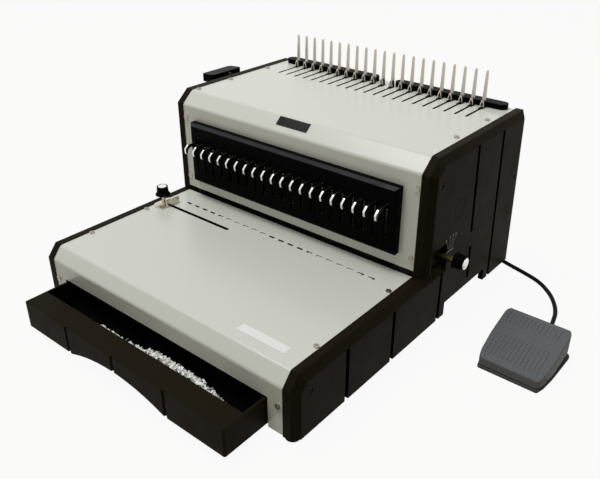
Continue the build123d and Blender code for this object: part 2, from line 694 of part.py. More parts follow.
gearbox_x = frame_inner_x - 56.0
can_y = 72.0
can_z = 154.0
with BuildPart() as gear_motor:
    block(gearbox_x, frame_inner_x - 0.1, 44.5, 100.0, 122.0, 186.0)
    fillet(gear_motor.edges().filter_by(Axis.X), 4.0)
    rod_x(gearbox_x - 140.0, gearbox_x, can_y, can_z, 28.0)
    rod_x(gearbox_x - 152.0, gearbox_x - 140.0, can_y, can_z, 22.0)
    rod_x(frame_inner_x - 7.0, frame_outer_x, motor_y, motor_z, motor_shaft_radius + 0.3, mode=Mode.SUBTRACT)
gear_motor.part.label = "gear_motor"

# Depth stop rod with its discs, and the dial's knob
with BuildPart() as depth_stop_rod:
    rod_x(-frame_outer_x + 0.5, dial_knob_x + 3.5, dial_y, dial_z, stop_rod_radius)
    for x in (-120, -60, 0, 60, 120):
        rod_x(x - 4, x + 4, dial_y, dial_z - stop_offset, stop_disc_radius)
depth_stop_rod.part.label = "depth_stop_rod"


def knob(location, skirt_radius, body_radius, height):
    """Fluted knob with a flared skirt and a recess for its cap. Local +Z points out."""
    rim = 1.2
    flare = 2.4
    body = height - rim - flare
    with Locations(location):
        with Locations((0, 0, rim / 2)):
            Cylinder(skirt_radius, rim)
        with Locations((0, 0, rim + flare / 2)):
            Cone(skirt_radius, body_radius + 0.5, flare)
        with Locations((0, 0, height - body / 2)):
            Cone(body_radius + 0.5, body_radius, body)
        with Locations((0, 0, height)):
            Cylinder(body_radius - 1.4, 1.0, mode=Mode.SUBTRACT)
        with PolarLocations(body_radius + 1.0, 16):
            with Locations((0, 0, height / 2 + rim + flare)):
                Cylinder(0.9, height, mode=Mode.SUBTRACT)


with BuildPart() as depth_knob:
    knob(Location((dial_knob_x, dial_y, dial_z), (0, 90, 0)), 9.5, 8.2, dial_knob_length)
    rod_x(dial_knob_x - 1.0, dial_knob_x + 3.5, dial_y, dial_z, stop_rod_radius, mode=Mode.SUBTRACT)
depth_knob.part.label = "depth_knob"

# Comb opener: shaft with two pinions, arm and grip
with BuildPart() as opener_shaft:
    rod_x(-cap_side_x - 8.0, frame_outer_x - 0.1, opener_y, opener_z, opener_shaft_radius)
    for x in (-80.0, 80.0):
        outline = moved_points(gear_outline(opener_teeth, pi / 2), opener_y, opener_z)
        side_profile(outline, x - 5.0, x + 5.0)
opener_shaft.part.label = "opener_shaft"

grip_x0 = -cap_side_x - 29.0
grip_x1 = -cap_side_x - 5.0
arm_x0 = -cap_side_x - 8.0
arm_x1 = -cap_side_x - 4.0
with BuildPart() as opener_arm:
    arm_dir = (98.0 - opener_y, 205.0 - opener_z)
    arm_length = hypot(*arm_dir)
    normal = (-arm_dir[1] / arm_length * 7, arm_dir[0] / arm_length * 7)
    side_profile(
        [
            (opener_y + normal[0], opener_z + normal[1]), (98.0 + normal[0], 205.0 + normal[1]),
            (98.0 - normal[0], 205.0 - normal[1]), (opener_y - normal[0], opener_z - normal[1]),
        ],
        arm_x0, arm_x1,
    )
    rod_x(arm_x0 - 1.0, arm_x1 + 1.0, opener_y, opener_z, 11.0)
    rod_x(arm_x0 - 11.0, arm_x1 + 11.0, opener_y, opener_z, opener_shaft_radius, mode=Mode.SUBTRACT)
opener_arm.part.label = "opener_arm"

with BuildPart() as opener_grip:
    grip_points = [
        (grip_x0, 201.0), (grip_x1, 201.0), (grip_x1, 213.1), (grip_x0, 211.0),
    ]
    with BuildSketch(Plane(origin=(0, 71.0, 0), x_dir=(1, 0, 0), z_dir=(0, -1, 0))):
        with BuildLine():
            Polyline(*grip_points, close=True)
        make_face()
    extrude(amount=-54.0)
    fillet(opener_grip.edges().filter_by(Axis.Z), 5.0)
    side_profile(
        [
            (opener_y + normal[0], opener_z + normal[1]), (98.0 + normal[0], 205.0 + normal[1]),
            (98.0 - normal[0], 205.0 - normal[1]), (opener_y - normal[0], opener_z - normal[1]),
        ],
        arm_x0, arm_x1 + 1, mode=Mode.SUBTRACT,
    )
opener_grip.part.label = "opener_grip"

# Hook plate with its two racks and its hooks
rack_line_z = opener_z + opener_radius
rack_y0 = 133.0
rack_y1 = 184.5
rack_pitch = pi * gear_module
rack_tip_z = rack_line_z - 0.9 * gear_module
rack_root_z = rack_line_z + 1.25 * gear_module


def rack_outline():
    """Rack with straight-sided teeth that point down, one gap centred over the pinion."""
    half = rack_pitch / 4 - 0.1
    lean_tip = 0.9 * gear_module * tan(radians(20))
    lean_root = 1.25 * gear_module * tan(radians(20))
    points = [(rack_y0, rack_root_z + 3.0), (rack_y0, rack_root_z)]
    first = int((rack_y0 + 3 - opener_y) / rack_pitch)
    last = int((rack_y1 - 3 - opener_y) / rack_pitch)
    for tooth in range(first, last):
        middle = opener_y + (tooth + 0.5) * rack_pitch
        points += [
            (middle - half - lean_root, rack_root_z), (middle - half + lean_tip, rack_tip_z),
            (middle + half - lean_tip, rack_tip_z), (middle + half + lean_root, rack_root_z),
        ]
    points += [(rack_y1, rack_root_z), (rack_y1, rack_root_z + 3.0)]
    return points


hook_low_z = top_z + 0.9
hook_top_z = hook_low_z + 8.2
hook_stem_z = hook_low_z + 1.6
with BuildPart() as hook_plate:
    block(-frame_inner_x + 1.0, frame_inner_x - 1.0, 125.0, 184.4, hook_plate_low_z, hook_plate_top_z)
    for x in (-80.0, 80.0):
        side_profile(rack_outline(), x - 4.0, x + 4.0)
        block(x - 4.0, x + 4.0, rack_y0, rack_y1, rack_root_z + 2.0, hook_plate_low_z)
    # 21 hooks, each standing on the plate by its stem
    with Locations(*[(x, hook_y - 0.8, (hook_plate_top_z + hook_stem_z) / 2) for x in row_x]):
        Box(1.6, 3.2, hook_stem_z - hook_plate_top_z)
    for x in row_x:
        with BuildSketch(Plane(origin=(x, hook_y + 0.8, 0), x_dir=(1, 0, 0), z_dir=(0, -1, 0))):
            with BuildLine():
                Polyline((-3.4, hook_low_z), (-1.3, hook_top_z), (1.3, hook_top_z), (3.4, hook_low_z),
                         close=True)
            make_face()
            with BuildLine():
                Polyline((-2.1, hook_stem_z), (-0.5, hook_top_z - 2), (0.5, hook_top_z - 2),
                         (2.1, hook_stem_z), close=True)
            make_face(mode=Mode.SUBTRACT)
        extrude(amount=1.6)
hook_plate.part.label = "hook_plate"

# Fixed fingers, each a steel blade fixed to the beam's front face
finger_root_half = 2.5
finger_tip_half = 1.25
with BuildPart() as comb_fingers:
    for x in row_x:
        with BuildSketch(Plane(origin=(x, finger_y + 1.0, 0), x_dir=(1, 0, 0), z_dir=(0, -1, 0))):
            with BuildLine():
                Polyline(
                    (-finger_root_half, 190.0), (finger_root_half, 190.0), (finger_root_half, top_z + 1.5),
                    (finger_tip_half + 0.35, finger_tip_z - 4.0), (finger_tip_half, finger_tip_z - 1.4),
                    (finger_tip_half / 2, finger_tip_z), (-finger_tip_half / 2, finger_tip_z),
                    (-finger_tip_half, finger_tip_z - 1.4), (-finger_tip_half - 0.35, finger_tip_z - 4.0),
                    (-finger_root_half, top_z + 1.5), close=True,
                )
            make_face()
        extrude(amount=2.0)
comb_fingers.part.label = "comb_fingers"

# Bars behind the fingers that the comb's spine rests on
bar_y0 = 188.9
bar_y1 = 204.4
bar_end_x = cover_half_width - 6.5
with BuildPart() as comb_rest_bars:
    for x0, x1 in ((-bar_end_x, -14.0), (14.0, bar_end_x)):
        with BuildSketch(Plane.XY.offset(top_z)):
            with Locations(((x0 + x1) / 2, (bar_y0 + bar_y1) / 2)):
                SlotOverall(x1 - x0, bar_y1 - bar_y0)
        extrude(amount=6.5)
comb_rest_bars.part.label = "comb_rest_bars"

# Chip drawer
drawer_rear_y = drawer_front_y + drawer_length
arch_half = 73.5
arch_rise = 13.5
arch_radius = (arch_half**2 + arch_rise**2) / (2 * arch_rise)
arch_depth = 22.0
with BuildPart() as chip_drawer:
    block(-drawer_half_width, drawer_half_width, drawer_front_y, drawer_rear_y, drawer_low_z, drawer_top_z)
    fillet(chip_drawer.edges().filter_by(Axis.Z), 2.0)
    block(-drawer_half_width + drawer_wall, drawer_half_width - drawer_wall, drawer_front_y + 27.0,
          drawer_rear_y - drawer_wall, drawer_low_z + drawer_wall, drawer_top_z + 1, mode=Mode.SUBTRACT)
    block(-drawer_half_width + drawer_wall, drawer_half_width - drawer_wall, drawer_front_y + 4.0,
          drawer_front_y + 28.0, drawer_low_z + drawer_wall, drawer_top_z - drawer_wall, mode=Mode.SUBTRACT)
    # shell over the hand recess, then the recess itself
    arch_centre_z = drawer_low_z + arch_rise - arch_radius
    for radius, depth, mode in (
        (arch_radius + drawer_wall, arch_depth + drawer_wall, Mode.ADD),
        (arch_radius, arch_depth, Mode.SUBTRACT),
    ):
        start = drawer_front_y + (1.0 if mode == Mode.ADD else -1.0)
        with BuildSketch(Plane(origin=(0, start, 0), x_dir=(1, 0, 0), z_dir=(0, 1, 0))):
            with Locations((0, -arch_centre_z)):
                Circle(radius)
            with Locations((0, -drawer_low_z - 30)):
                Rectangle(180, 60, mode=Mode.INTERSECT)
        extrude(amount=depth, mode=mode)
    for x in (-78.3, -1.9, 75.6):
        rod_z(x, drawer_front_y, 0.0, drawer_top_z + 1, 2.2, mode=Mode.SUBTRACT)
chip_drawer.part.label = "chip_drawer"

# Side guide that slides along the slot in the tray, and its clamp knob
guide_wall_x = guide_post_x + 15.3
with BuildPart() as side_guide:
    block(guide_post_x - 4.5, guide_wall_x, guide_post_y - 16.0, guide_post_y + 13.6, tray_z + 0.15,
          tray_z + 1.9)
    fillet(side_guide.edges().filter_by(Axis.Z).group_by(Axis.X)[0], 7.0)
    block(guide_wall_x - 2.2, guide_wall_x, guide_post_y - 7.0, guide_post_y + 13.6, tray_z + 0.15,
          tray_z + 9.6)
    block(guide_post_x - 3.0, guide_post_x + 3.4, guide_post_y - 2.0, guide_post_y + 2.0, tray_z - 4.0,
          tray_z + 1.0)
    block(guide_post_x - 4.6, guide_post_x + 8.0, guide_post_y - 5.5, guide_post_y + 5.5, tray_z - 6.5,
          tray_z - sheet - 0.3)
    rod_z(guide_post_x, guide_post_y, tray_z - 8, tray_z + 4, 1.55, mode=Mode.SUBTRACT)
side_guide.part.label = "side_guide"

guide_knob_z = tray_z + 11.6
with BuildPart() as guide_knob:
    rod_z(guide_post_x, guide_post_y, tray_z - 6.0, tray_z + 3.0, 1.5)
    rod_z(guide_post_x, guide_post_y, tray_z + 2.05, guide_knob_z + 0.5, 2.6)
    knob(Location((guide_post_x, guide_post_y, guide_knob_z)), 9.6, 7.1, 11.6)
guide_knob.part.label = "guide_knob"

# Power inlet with its switch, on the leaning rear cover
rear_slope = atan2(rear_low[0] - rear_top[0], rear_top[1] - rear_low[1])
inlet_share = (rear_top[1] - inlet_z) / (rear_top[1] - rear_low[1])
inlet_y = rear_top[0] + (rear_low[0] - rear_top[0]) * inlet_share
inlet_plane = Plane(
    origin=(inlet_x, inlet_y, inlet_z), x_dir=(-1, 0, 0), z_dir=(0, cos(rear_slope), sin(rear_slope))
)
rocker_v = 12.0
rocker_w = -1.0
trunnion_radius = 1.6
trunnion_half = 8.6
trunnion_place = Location((0, rocker_v, rocker_w), (0, 90, 0))
with BuildPart(inlet_plane) as power_inlet:
    with Locations((0, 0, 1.05)):
        Box(32.0, 54.0, 1.9)
    with Locations((0, 0, -11.0)):
        Box(27.6, 48.0, 22.3)
    with Locations((0, -11.0, -6.0)):
        Box(23.0, 16.0, 17.0, mode=Mode.SUBTRACT)
    for u, v in ((-7.0, -13.0), (7.0, -13.0), (0.0, -9.0)):
        with Locations((u, v, -10.6)):
            Box(2.0, 3.6, 8.0)
    with Locations((0, rocker_v, -4.0)):
        Box(14.4, 20.6, 14.0, mode=Mode.SUBTRACT)
    with Locations(trunnion_place):
        Cylinder(trunnion_radius + 0.05, 2 * trunnion_half + 0.6, mode=Mode.SUBTRACT)
power_inlet.part.label = "power_inlet"

rocker_tilt = radians(6)


def turned(points, angle, v, w):
    return [
        (v + (a - v) * cos(angle) - (b - w) * sin(angle), w + (a - v) * sin(angle) + (b - w) * cos(angle))
        for a, b in points
    ]


with BuildPart() as power_rocker:
    shape = [
        (rocker_v - 9.2, 3.4), (rocker_v, 1.6), (rocker_v + 9.2, 3.4), (rocker_v + 8.4, -6.0),
        (rocker_v - 8.4, -6.0),
    ]
    rocker_origin = inlet_plane.from_local_coords((6.6, 0, 0))
    with BuildSketch(Plane(origin=rocker_origin, x_dir=inlet_plane.y_dir, z_dir=inlet_plane.x_dir)):
        with BuildLine():
            Polyline(*turned(shape, rocker_tilt, rocker_v, rocker_w), close=True)
        make_face()
    extrude(amount=-13.2)
    with Locations(inlet_plane.location * trunnion_place):
        Cylinder(trunnion_radius, 2 * trunnion_half)
power_rocker.part.label = "power_rocker"

# Gland where the pedal's cord leaves the machine
gland_y = rear_top[0] + (rear_low[0] - rear_top[0]) * (rear_top[1] - gland_z) / (rear_top[1] - rear_low[1])
with BuildPart() as cord_gland:
    with Locations(Location((gland_x, gland_y - 4.0, gland_z), (-90, 0, 0))):
        Cylinder(6.0, 10.0)
    with Locations(Location((gland_x, gland_y + 2.3, gland_z), (-90, 0, 0))):
        Cylinder(8.0, 3.0)
    with Locations(Location((gland_x, (gland_y + 3.8 + gland_tip_y) / 2, gland_z), (-90, 0, 0))):
        Cone(4.8, 3.3, gland_tip_y - gland_y - 3.8)
cord_gland.part.label = "cord_gland"

# Cord and its put-away coil
with BuildPart() as machine_cord:
    cord_tube(machine_route)
machine_cord.part.label = "machine_cord"

with BuildPart() as pedal_cord:
    cord_tube(pedal_route)
pedal_cord.part.label = "pedal_cord"

with BuildPart() as cord_coil:
    with BuildSketch(Plane(origin=(coil_x, coil_y, 0), x_dir=(1, 0, 0), z_dir=(0, -1, 0))):
        with Locations((coil_radius, 2 * cord_radius)):
            RectangleRounded(6 * cord_radius, 4 * cord_radius, 2.0)
    revolve(axis=Axis((coil_x, coil_y, 0), (0, 0, 1)))
cord_coil.part.label = "cord_coil"


def pedal_plan(y0, y1, inset):
    """Corners of the pedal's plan: it widens from the front edge and then keeps its width."""
    widest = pedal_half_width - inset
    front = pedal_front_half - inset
    right = [
        (pedal_x + front, y0), (pedal_x + (front + widest) / 2 + 0.6, y0 + (pedal_taper_y - y0) * 0.35),
        (pedal_x + widest, pedal_taper_y), (pedal_x + widest, y1),
    ]
    left = [(2 * pedal_x - x, y) for x, y in reversed(right)]
    return right + left


def pedal_slab(y0, y1, inset, z0, z1):
    """Flat slab with the pedal's plan."""
    with BuildSketch(Plane.XY.offset(z0)) as plan:
        with BuildLine():
            Polyline(*pedal_plan(y0, y1, inset), close=True)
        make_face()
    extrude(plan.sketch, amount=z1 - z0, dir=(0, 0, 1))


# Foot pedal: base, treadle, pin and spring
treadle_edge = (treadle_front_y + 2.0, treadle_front_z + 0.9)
treadle_middle = (treadle_middle_y, treadle_middle_z)
treadle_top = (treadle_rear_y - 3.0, treadle_rear_z)
treadle_outline = [
    (treadle_front_y, 4.2), (30.0, 7.6), (59.0, 14.2), (treadle_rear_y, 16.8),
    (treadle_rear_y, treadle_rear_z - 2.2), treadle_top, treadle_middle, treadle_edge,
    (treadle_front_y, treadle_front_z),
]
treadle_hollow = [
    (treadle_front_y + treadle_wall, 0.0), (treadle_rear_y - treadle_wall, 0.0),
    (treadle_rear_y - treadle_wall, treadle_rear_z - 5.4),
    (treadle_front_y + treadle_wall, treadle_front_z - 2.0),
]
lug_x = 24.0
with BuildPart() as pedal_base:
    pedal_slab(pedal_front_y, pedal_rear_y, 0.0, 0.0, pedal_base_top_z)
    fillet(pedal_base.edges().filter_by(Axis.Z).group_by(Axis.Y)[-1], 6.0)
    fillet(pedal_base.edges().filter_by(Axis.Z).group_by(Axis.Y)[0], 3.0)
    for side in (-1, 1):
        x_lug = pedal_x + side * lug_x
        block(x_lug - 2, x_lug + 2, pedal_pin_y - 4.5, pedal_pin_y + 4.5, pedal_base_top_z, pedal_pin_z + 3.0)
    rod_x(pedal_x - lug_x - 5, pedal_x + lug_x + 5, pedal_pin_y, pedal_pin_z, pedal_pin_radius + 0.05,
          mode=Mode.SUBTRACT)
    block(pedal_x - 16, pedal_x + 16, 24.0, 34.0, pedal_base_top_z, pedal_base_top_z + 9.0)
    block(pedal_x - 5.0, pedal_x + 6.0, treadle_rear_y + 1.5, pedal_rear_y + 4.0, pedal_base_top_z, 10.6)
pedal_base.part.label = "pedal_base"

with BuildPart() as pedal_treadle:
    pedal_slab(treadle_front_y, treadle_rear_y, 0.2, 0.0, 50.0)
    fillet(pedal_treadle.edges().filter_by(Axis.Z).group_by(Axis.Y)[-1], treadle_rear_corner)
    fillet(pedal_treadle.edges().filter_by(Axis.Z).group_by(Axis.Y)[0], 4.0)
    side_profile(treadle_outline, pedal_x - 50, pedal_x + 50, mode=Mode.INTERSECT)
    side_profile(treadle_hollow, pedal_x - lug_x - 6, pedal_x + lug_x + 6, mode=Mode.SUBTRACT)
    # two rows of fine grooves for the foot's grip, one on each slope of the top
    groove_x0 = pedal_x - 1.3 - pedal_groove_pitch * (pedal_groove_count - 1) / 2
    front_grooves = (2.0, 32.0, treadle_edge, treadle_middle)
    rear_grooves = (47.0, 61.0, treadle_middle, treadle_top)
    for y0, y1, low, high in (front_grooves, rear_grooves):
        slope = (high[1] - low[1]) / (high[0] - low[0])
        y_middle = (y0 + y1) / 2
        z_middle = low[1] + (y_middle - low[0]) * slope
        for number in range(pedal_groove_count):
            x = groove_x0 + number * pedal_groove_pitch
            with Locations(Location((x, y_middle, z_middle), (degrees(atan(slope)), 0, 0))):
                Box(1.1, y1 - y0, 2 * pedal_groove_depth, mode=Mode.SUBTRACT)
    rod_x(pedal_x - 40, pedal_x + 40, pedal_pin_y, pedal_pin_z, pedal_pin_radius, mode=Mode.SUBTRACT)
pedal_treadle.part.label = "pedal_treadle"

with BuildPart() as pedal_pin:
    rod_x(pedal_x - 34.0, pedal_x + 34.0, pedal_pin_y, pedal_pin_z, pedal_pin_radius)
pedal_pin.part.label = "pedal_pin"

spring_y = 48.0
spring_radius = 5.0
spring_wire = 0.7
hollow_slope = (treadle_hollow[2][1] - treadle_hollow[3][1]) / (treadle_hollow[2][0] - treadle_hollow[3][0])
spring_reach = spring_y - spring_radius - spring_wire - treadle_hollow[3][0]
spring_top_z = treadle_hollow[3][1] + spring_reach * hollow_slope - 0.3
with BuildPart() as pedal_spring:
    with BuildLine() as turns:
        Helix(pitch=5.0, height=spring_top_z - pedal_base_top_z - 2 * spring_wire - 0.2, radius=spring_radius,
              center=(pedal_x, spring_y, pedal_base_top_z + spring_wire + 0.1))
    with BuildSketch(Plane(origin=turns.wires()[0] @ 0, z_dir=turns.wires()[0] % 0)):
        Circle(spring_wire)
    sweep(path=turns.wires()[0])
pedal_spring.part.label = "pedal_spring"

os.makedirs("parts", exist_ok=True)
export_step(base_plate.part, "parts/base_plate.step")
export_step(left_side_cap.part, "parts/left_side_cap.step")
export_step(right_side_cap.part, "parts/right_side_cap.step")
export_step(tray_cover.part, "parts/tray_cover.step")
export_step(upper_cover.part, "parts/upper_cover.step")
export_step(rear_cover.part, "parts/rear_cover.step")
export_step(lever_bezel.part, "parts/lever_bezel.step")
export_step(feet.part, "parts/feet.step")
export_step(cover_screws.part, "parts/cover_screws.step")
export_step(slot_backing_strip.part, "parts/slot_backing_strip.step")
export_step(side_frame.part, "parts/side_frame.step")
export_step(die_block.part, "parts/die_block.step")
export_step(pin_guide_block.part, "parts/pin_guide_block.step")
export_step(punch_ram.part, "parts/punch_ram.step")
export_step(punch_pins.part, "parts/punch_pins.step")
for lever in pull_levers:
    export_step(lever, "parts/" + lever.label + ".step")
export_step(cam_shaft.part, "parts/cam_shaft.step")
export_step(motor_pinion.part, "parts/motor_pinion.step")
export_step(gear_motor.part, "parts/gear_motor.step")
export_step(depth_stop_rod.part, "parts/depth_stop_rod.step")
export_step(depth_knob.part, "parts/depth_knob.step")
export_step(opener_shaft.part, "parts/opener_shaft.step")
export_step(opener_arm.part, "parts/opener_arm.step")
export_step(opener_grip.part, "parts/opener_grip.step")
export_step(hook_plate.part, "parts/hook_plate.step")
export_step(comb_fingers.part, "parts/comb_fingers.step")
export_step(comb_rest_bars.part, "parts/comb_rest_bars.step")
export_step(chip_drawer.part, "parts/chip_drawer.step")
export_step(side_guide.part, "parts/side_guide.step")
export_step(guide_knob.part, "parts/guide_knob.step")
export_step(power_inlet.part, "parts/power_inlet.step")
export_step(power_rocker.part, "parts/power_rocker.step")
export_step(cord_gland.part, "parts/cord_gland.step")
export_step(machine_cord.part, "parts/machine_cord.step")
export_step(pedal_cord.part, "parts/pedal_cord.step")
export_step(cord_coil.part, "parts/cord_coil.step")
export_step(pedal_base.part, "parts/pedal_base.step")
export_step(pedal_treadle.part, "parts/pedal_treadle.step")
export_step(pedal_pin.part, "parts/pedal_pin.step")
export_step(pedal_spring.part, "parts/pedal_spring.step")
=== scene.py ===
import json
import math
import random

import bmesh
import bpy
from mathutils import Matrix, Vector

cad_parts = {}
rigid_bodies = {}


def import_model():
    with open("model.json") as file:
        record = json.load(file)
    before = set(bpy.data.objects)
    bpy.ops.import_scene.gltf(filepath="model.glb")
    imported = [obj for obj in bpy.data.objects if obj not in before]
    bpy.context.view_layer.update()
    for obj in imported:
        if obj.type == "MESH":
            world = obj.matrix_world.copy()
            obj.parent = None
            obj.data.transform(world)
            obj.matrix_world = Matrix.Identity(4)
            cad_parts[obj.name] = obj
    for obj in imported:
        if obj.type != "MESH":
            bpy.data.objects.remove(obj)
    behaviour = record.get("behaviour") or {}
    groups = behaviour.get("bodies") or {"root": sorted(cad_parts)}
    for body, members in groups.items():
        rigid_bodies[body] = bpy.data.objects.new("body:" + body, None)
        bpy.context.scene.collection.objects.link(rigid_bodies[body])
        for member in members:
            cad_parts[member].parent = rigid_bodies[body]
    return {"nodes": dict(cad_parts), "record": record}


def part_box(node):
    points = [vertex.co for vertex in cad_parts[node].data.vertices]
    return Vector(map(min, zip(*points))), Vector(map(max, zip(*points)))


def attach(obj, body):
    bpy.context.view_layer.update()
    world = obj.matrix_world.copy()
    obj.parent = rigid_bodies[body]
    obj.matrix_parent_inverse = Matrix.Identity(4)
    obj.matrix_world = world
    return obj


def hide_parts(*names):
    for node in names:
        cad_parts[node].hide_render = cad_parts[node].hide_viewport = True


bl_info = {
    "name": "Comb binding machine look",
    "version": (1, 0, 0),
    "blender": (4, 5, 0),
    "location": "View3D > Sidebar > Binding machine",
    "description": "Dresses the electric comb binding machine: finishes, small trim, cord, stage, camera",
    "category": "Object",
}

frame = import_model()
MM = 0.001

# The camera that the photograph was taken with, worked out from the row of fingers
CAMERA_PLACE = Vector((0.491219, -0.573567, 0.47682))
CAMERA_YAW = math.radians(39.734)
CAMERA_DOWN = math.radians(28.940)
CAMERA_LENS = 42.10
CAMERA_SENSOR = 36.0

HOLE_COUNT = 21

# The cord's route, as in the part's source
CORD_DIAMETER = 0.005
MACHINE_ROUTE = [
    (0.150, 0.234, 0.026), (0.150, 0.2485, 0.026), (0.1495, 0.263, 0.019), (0.146, 0.276, 0.0095),
    (0.137, 0.2875, 0.0035), (0.123, 0.295, 0.0025), (0.107, 0.2975, 0.0025), (0.092, 0.2975, 0.0025),
]
PEDAL_ROUTE = [
    (0.090, 0.2325, 0.0075), (0.115, 0.2315, 0.0045), (0.142, 0.227, 0.0025), (0.169, 0.219, 0.0025),
    (0.196, 0.2095, 0.0025), (0.221, 0.2025, 0.0025), (0.244, 0.1945, 0.0025), (0.263, 0.1795, 0.0025),
    (0.2775, 0.1615, 0.0025), (0.288, 0.141, 0.0025), (0.2925, 0.121, 0.0025), (0.2954, 0.106, 0.003),
    (0.295, 0.092, 0.0055), (0.295, 0.079, 0.0055),
]
COIL_CENTRE = Vector((0.090, 0.265, 0.0))
COIL_RADIUS = 0.0325
COIL_TURNS = 6
COIL_STEPS = 14
COIL_FIRST_STEP = 2

# Heights and faces of the machine that the small pieces sit on
TRAY_Z = 77.4 * MM
TOP_Z = 210.5 * MM
CAP_SIDE_X = 191.0 * MM
REAR_PAN_Z = 9.5 * MM

# Ranges and heights that pick out faces with a colour of their own: the walls of slots and grooves, the
# dial's pocket and the drawer's inside for painted shade, the bezel's chamfer for a painted sheen, and
# the height below which the fingers turn nearly black
SLOT_FIELD_X = 0.164
SLOT_DEPTH = 0.0014
TRAY_SLOTS_Y = (-0.04, -0.02)
GUIDE_SLOT_Y = (-0.07, -0.045)
FINGER_SLOTS_Y = (0.13, 0.30)
STRIP_WINDOWS = (
    (-0.1520, -0.0872), (-0.0842, -0.0805), (-0.0060, 0.0556), (0.0587, 0.0625), (0.1286, 0.1340),
    (0.1429, 0.1500),
)
WINDOW_MARGIN = 0.0005
CAP_GROOVE_X = (CAP_SIDE_X - 0.0055, CAP_SIDE_X - 0.0008)
DIAL_POCKET = ((0.170, CAP_SIDE_X - 0.0008), (0.0045, 0.0295), (0.078, 0.1075))
DRAWER_INSIDE = ((-0.1526, 0.1526), (-0.2455, -0.009), (0.012, 0.0415))
BEZEL_CHAMFER_Z = 0.1745
FINGER_BASE_Z = TOP_Z + 0.008

# Rounding of edges, in metres, and the angles that shading and clean-up go by
BEND_RADIUS = 0.0022
TREADLE_RIM_RADIUS = 0.0012
PLATE_CORNER_RADIUS = 0.0012
LONG_EDGE = 0.25
BEND_ANGLES = (math.radians(15), math.radians(75))
MERGE_GAP = 0.000002
FLAT_ANGLE = math.radians(0.6)
SMOOTH_ANGLE = math.radians(40)

# The range that most of a noise lies in
NOISE_LOW, NOISE_HIGH = 0.3, 0.7

# The paper chips and their heap in the drawer, in millimetres, and the chips' turns in radians
CHIP_SIZE = (7.0, 2.4, 0.3)
CHIP_CURL = 0.7
CHIP_TURNS = (1.2, 0.9, 1.5)
HEAP_MIDDLE_X, HEAP_SPREAD_X, HEAP_HALF_WIDTH, HEAP_REACH_X = 50.0, 27.0, 50.0, 130.0
HEAP_SHARE = 0.8
STRAYS_X = (-70.0, -60.0, -44.0, -20.0, -8.0, 100.0, 112.0)
STRAYS_SPREAD_X = 5.0
HEAP_FRONT_Y, HEAP_SPREAD_Y, HEAP_REACH_Y = -240.5, 4.4, 14.0
HEAP_EDGE_Z, HEAP_RISE_Z, HEAP_SPREAD_Z, HEAP_SLOPE = 31.5, 8.5, 3.2, 0.7

# Lamps: name, place, side of the square, power
LAMPS = (
    ("key", (-0.6, -0.5, 3.0), 1.8, 65.0), ("back", (0.3, 1.9, 1.9), 1.4, 4.0),
    ("fill", (1.6, -1.2, 1.0), 1.2, 0.6),
)
LAMP_AIM = Vector((0, 0, 0.1))
LAMP_COLOUR = (0.97, 0.99, 1.0)
AMBIENT_COLOUR = (1.0, 0.95, 0.80, 1.0)
AMBIENT_STRENGTH = 0.21
WHITE = (1.0, 1.0, 1.0, 1.0)
FLOOR_COLOUR = (0.44, 0.41, 0.34, 1.0)
FLOOR_SIDE = 14.0
FLOOR_Z = -0.0002
FLOOR_GLOW = 0.935


# Small helpers for modelling

def deselect_all():
    """Leaves nothing selected and no active object."""
    if bpy.context.object and bpy.context.object.mode != "OBJECT":
        bpy.ops.object.mode_set(mode="OBJECT")
    bpy.ops.object.select_all(action="DESELECT")
    bpy.context.view_layer.objects.active = None


def pick(piece):
    """Selects one object alone and makes it active."""
    deselect_all()
    piece.select_set(True)
    bpy.context.view_layer.objects.active = piece


def settle(piece):
    """Moves a piece's place, turn and scale into its mesh."""
    pick(piece)
    bpy.ops.object.transform_apply(location=True, rotation=True, scale=True)


def apply_modifiers(piece):
    """Applies every modifier on a piece."""
    pick(piece)
    for modifier in list(piece.modifiers):
        bpy.ops.object.modifier_apply(modifier=modifier.name)


def even_shading(piece):
    """Smooth shading that keeps the large faces flat and turns only over the rounded edges."""
    pick(piece)
    bpy.ops.object.shade_smooth_by_angle(angle=SMOOTH_ANGLE)
    normals = piece.modifiers.new("even_shading", "WEIGHTED_NORMAL")
    normals.keep_sharp = True
    normals.weight = 60
    apply_modifiers(piece)


def bevelled(piece, width, segments=2, degrees=30):
    """Rounds a piece's edges."""
    bevel = piece.modifiers.new("edge_round", "BEVEL")
    bevel.width = width
    bevel.segments = segments
    bevel.limit_method = "ANGLE"
    bevel.angle_limit = math.radians(degrees)
    apply_modifiers(piece)
    even_shading(piece)


def box_piece(name, low, high):
    """Box between two corners, in metres."""
    deselect_all()
    centre = [(a + b) / 2 for a, b in zip(low, high)]
    bpy.ops.mesh.primitive_cube_add(size=1.0, location=centre)
    piece = bpy.context.object
    piece.name = name
    piece.scale = [b - a for a, b in zip(low, high)]
    settle(piece)
    return piece


def disc_piece(name, centre, radius, depth, axis="Z", sides=48):
    """Round disc or rod with its middle at the centre."""
    deselect_all()
    turn = {"Z": (0, 0, 0), "X": (0, math.pi / 2, 0), "Y": (math.pi / 2, 0, 0)}[axis]
    bpy.ops.mesh.primitive_cylinder_add(
        vertices=sides, radius=radius, depth=depth, location=centre, rotation=turn
    )
    piece = bpy.context.object
    piece.name = name
    settle(piece)
    return piece


def joined(pieces, name):
    """Joins several pieces into one."""
    deselect_all()
    for piece in pieces:
        piece.select_set(True)
    bpy.context.view_layer.objects.active = pieces[0]
    bpy.ops.object.join()
    piece = bpy.context.object
    piece.name = name
    return piece


def between(value, limits):
    """Whether a value lies between two limits."""
    return limits[0] < value < limits[1]


def inside_box(place, box):
    """Whether a place lies inside a box given by its ranges along x, y and z."""
    return all(between(value, limits) for value, limits in zip(place, box))


def faces_sideways(place, normal):
    """Whether a face looks along x, to the machine's left or right."""
    return abs(normal.x) > 0.95


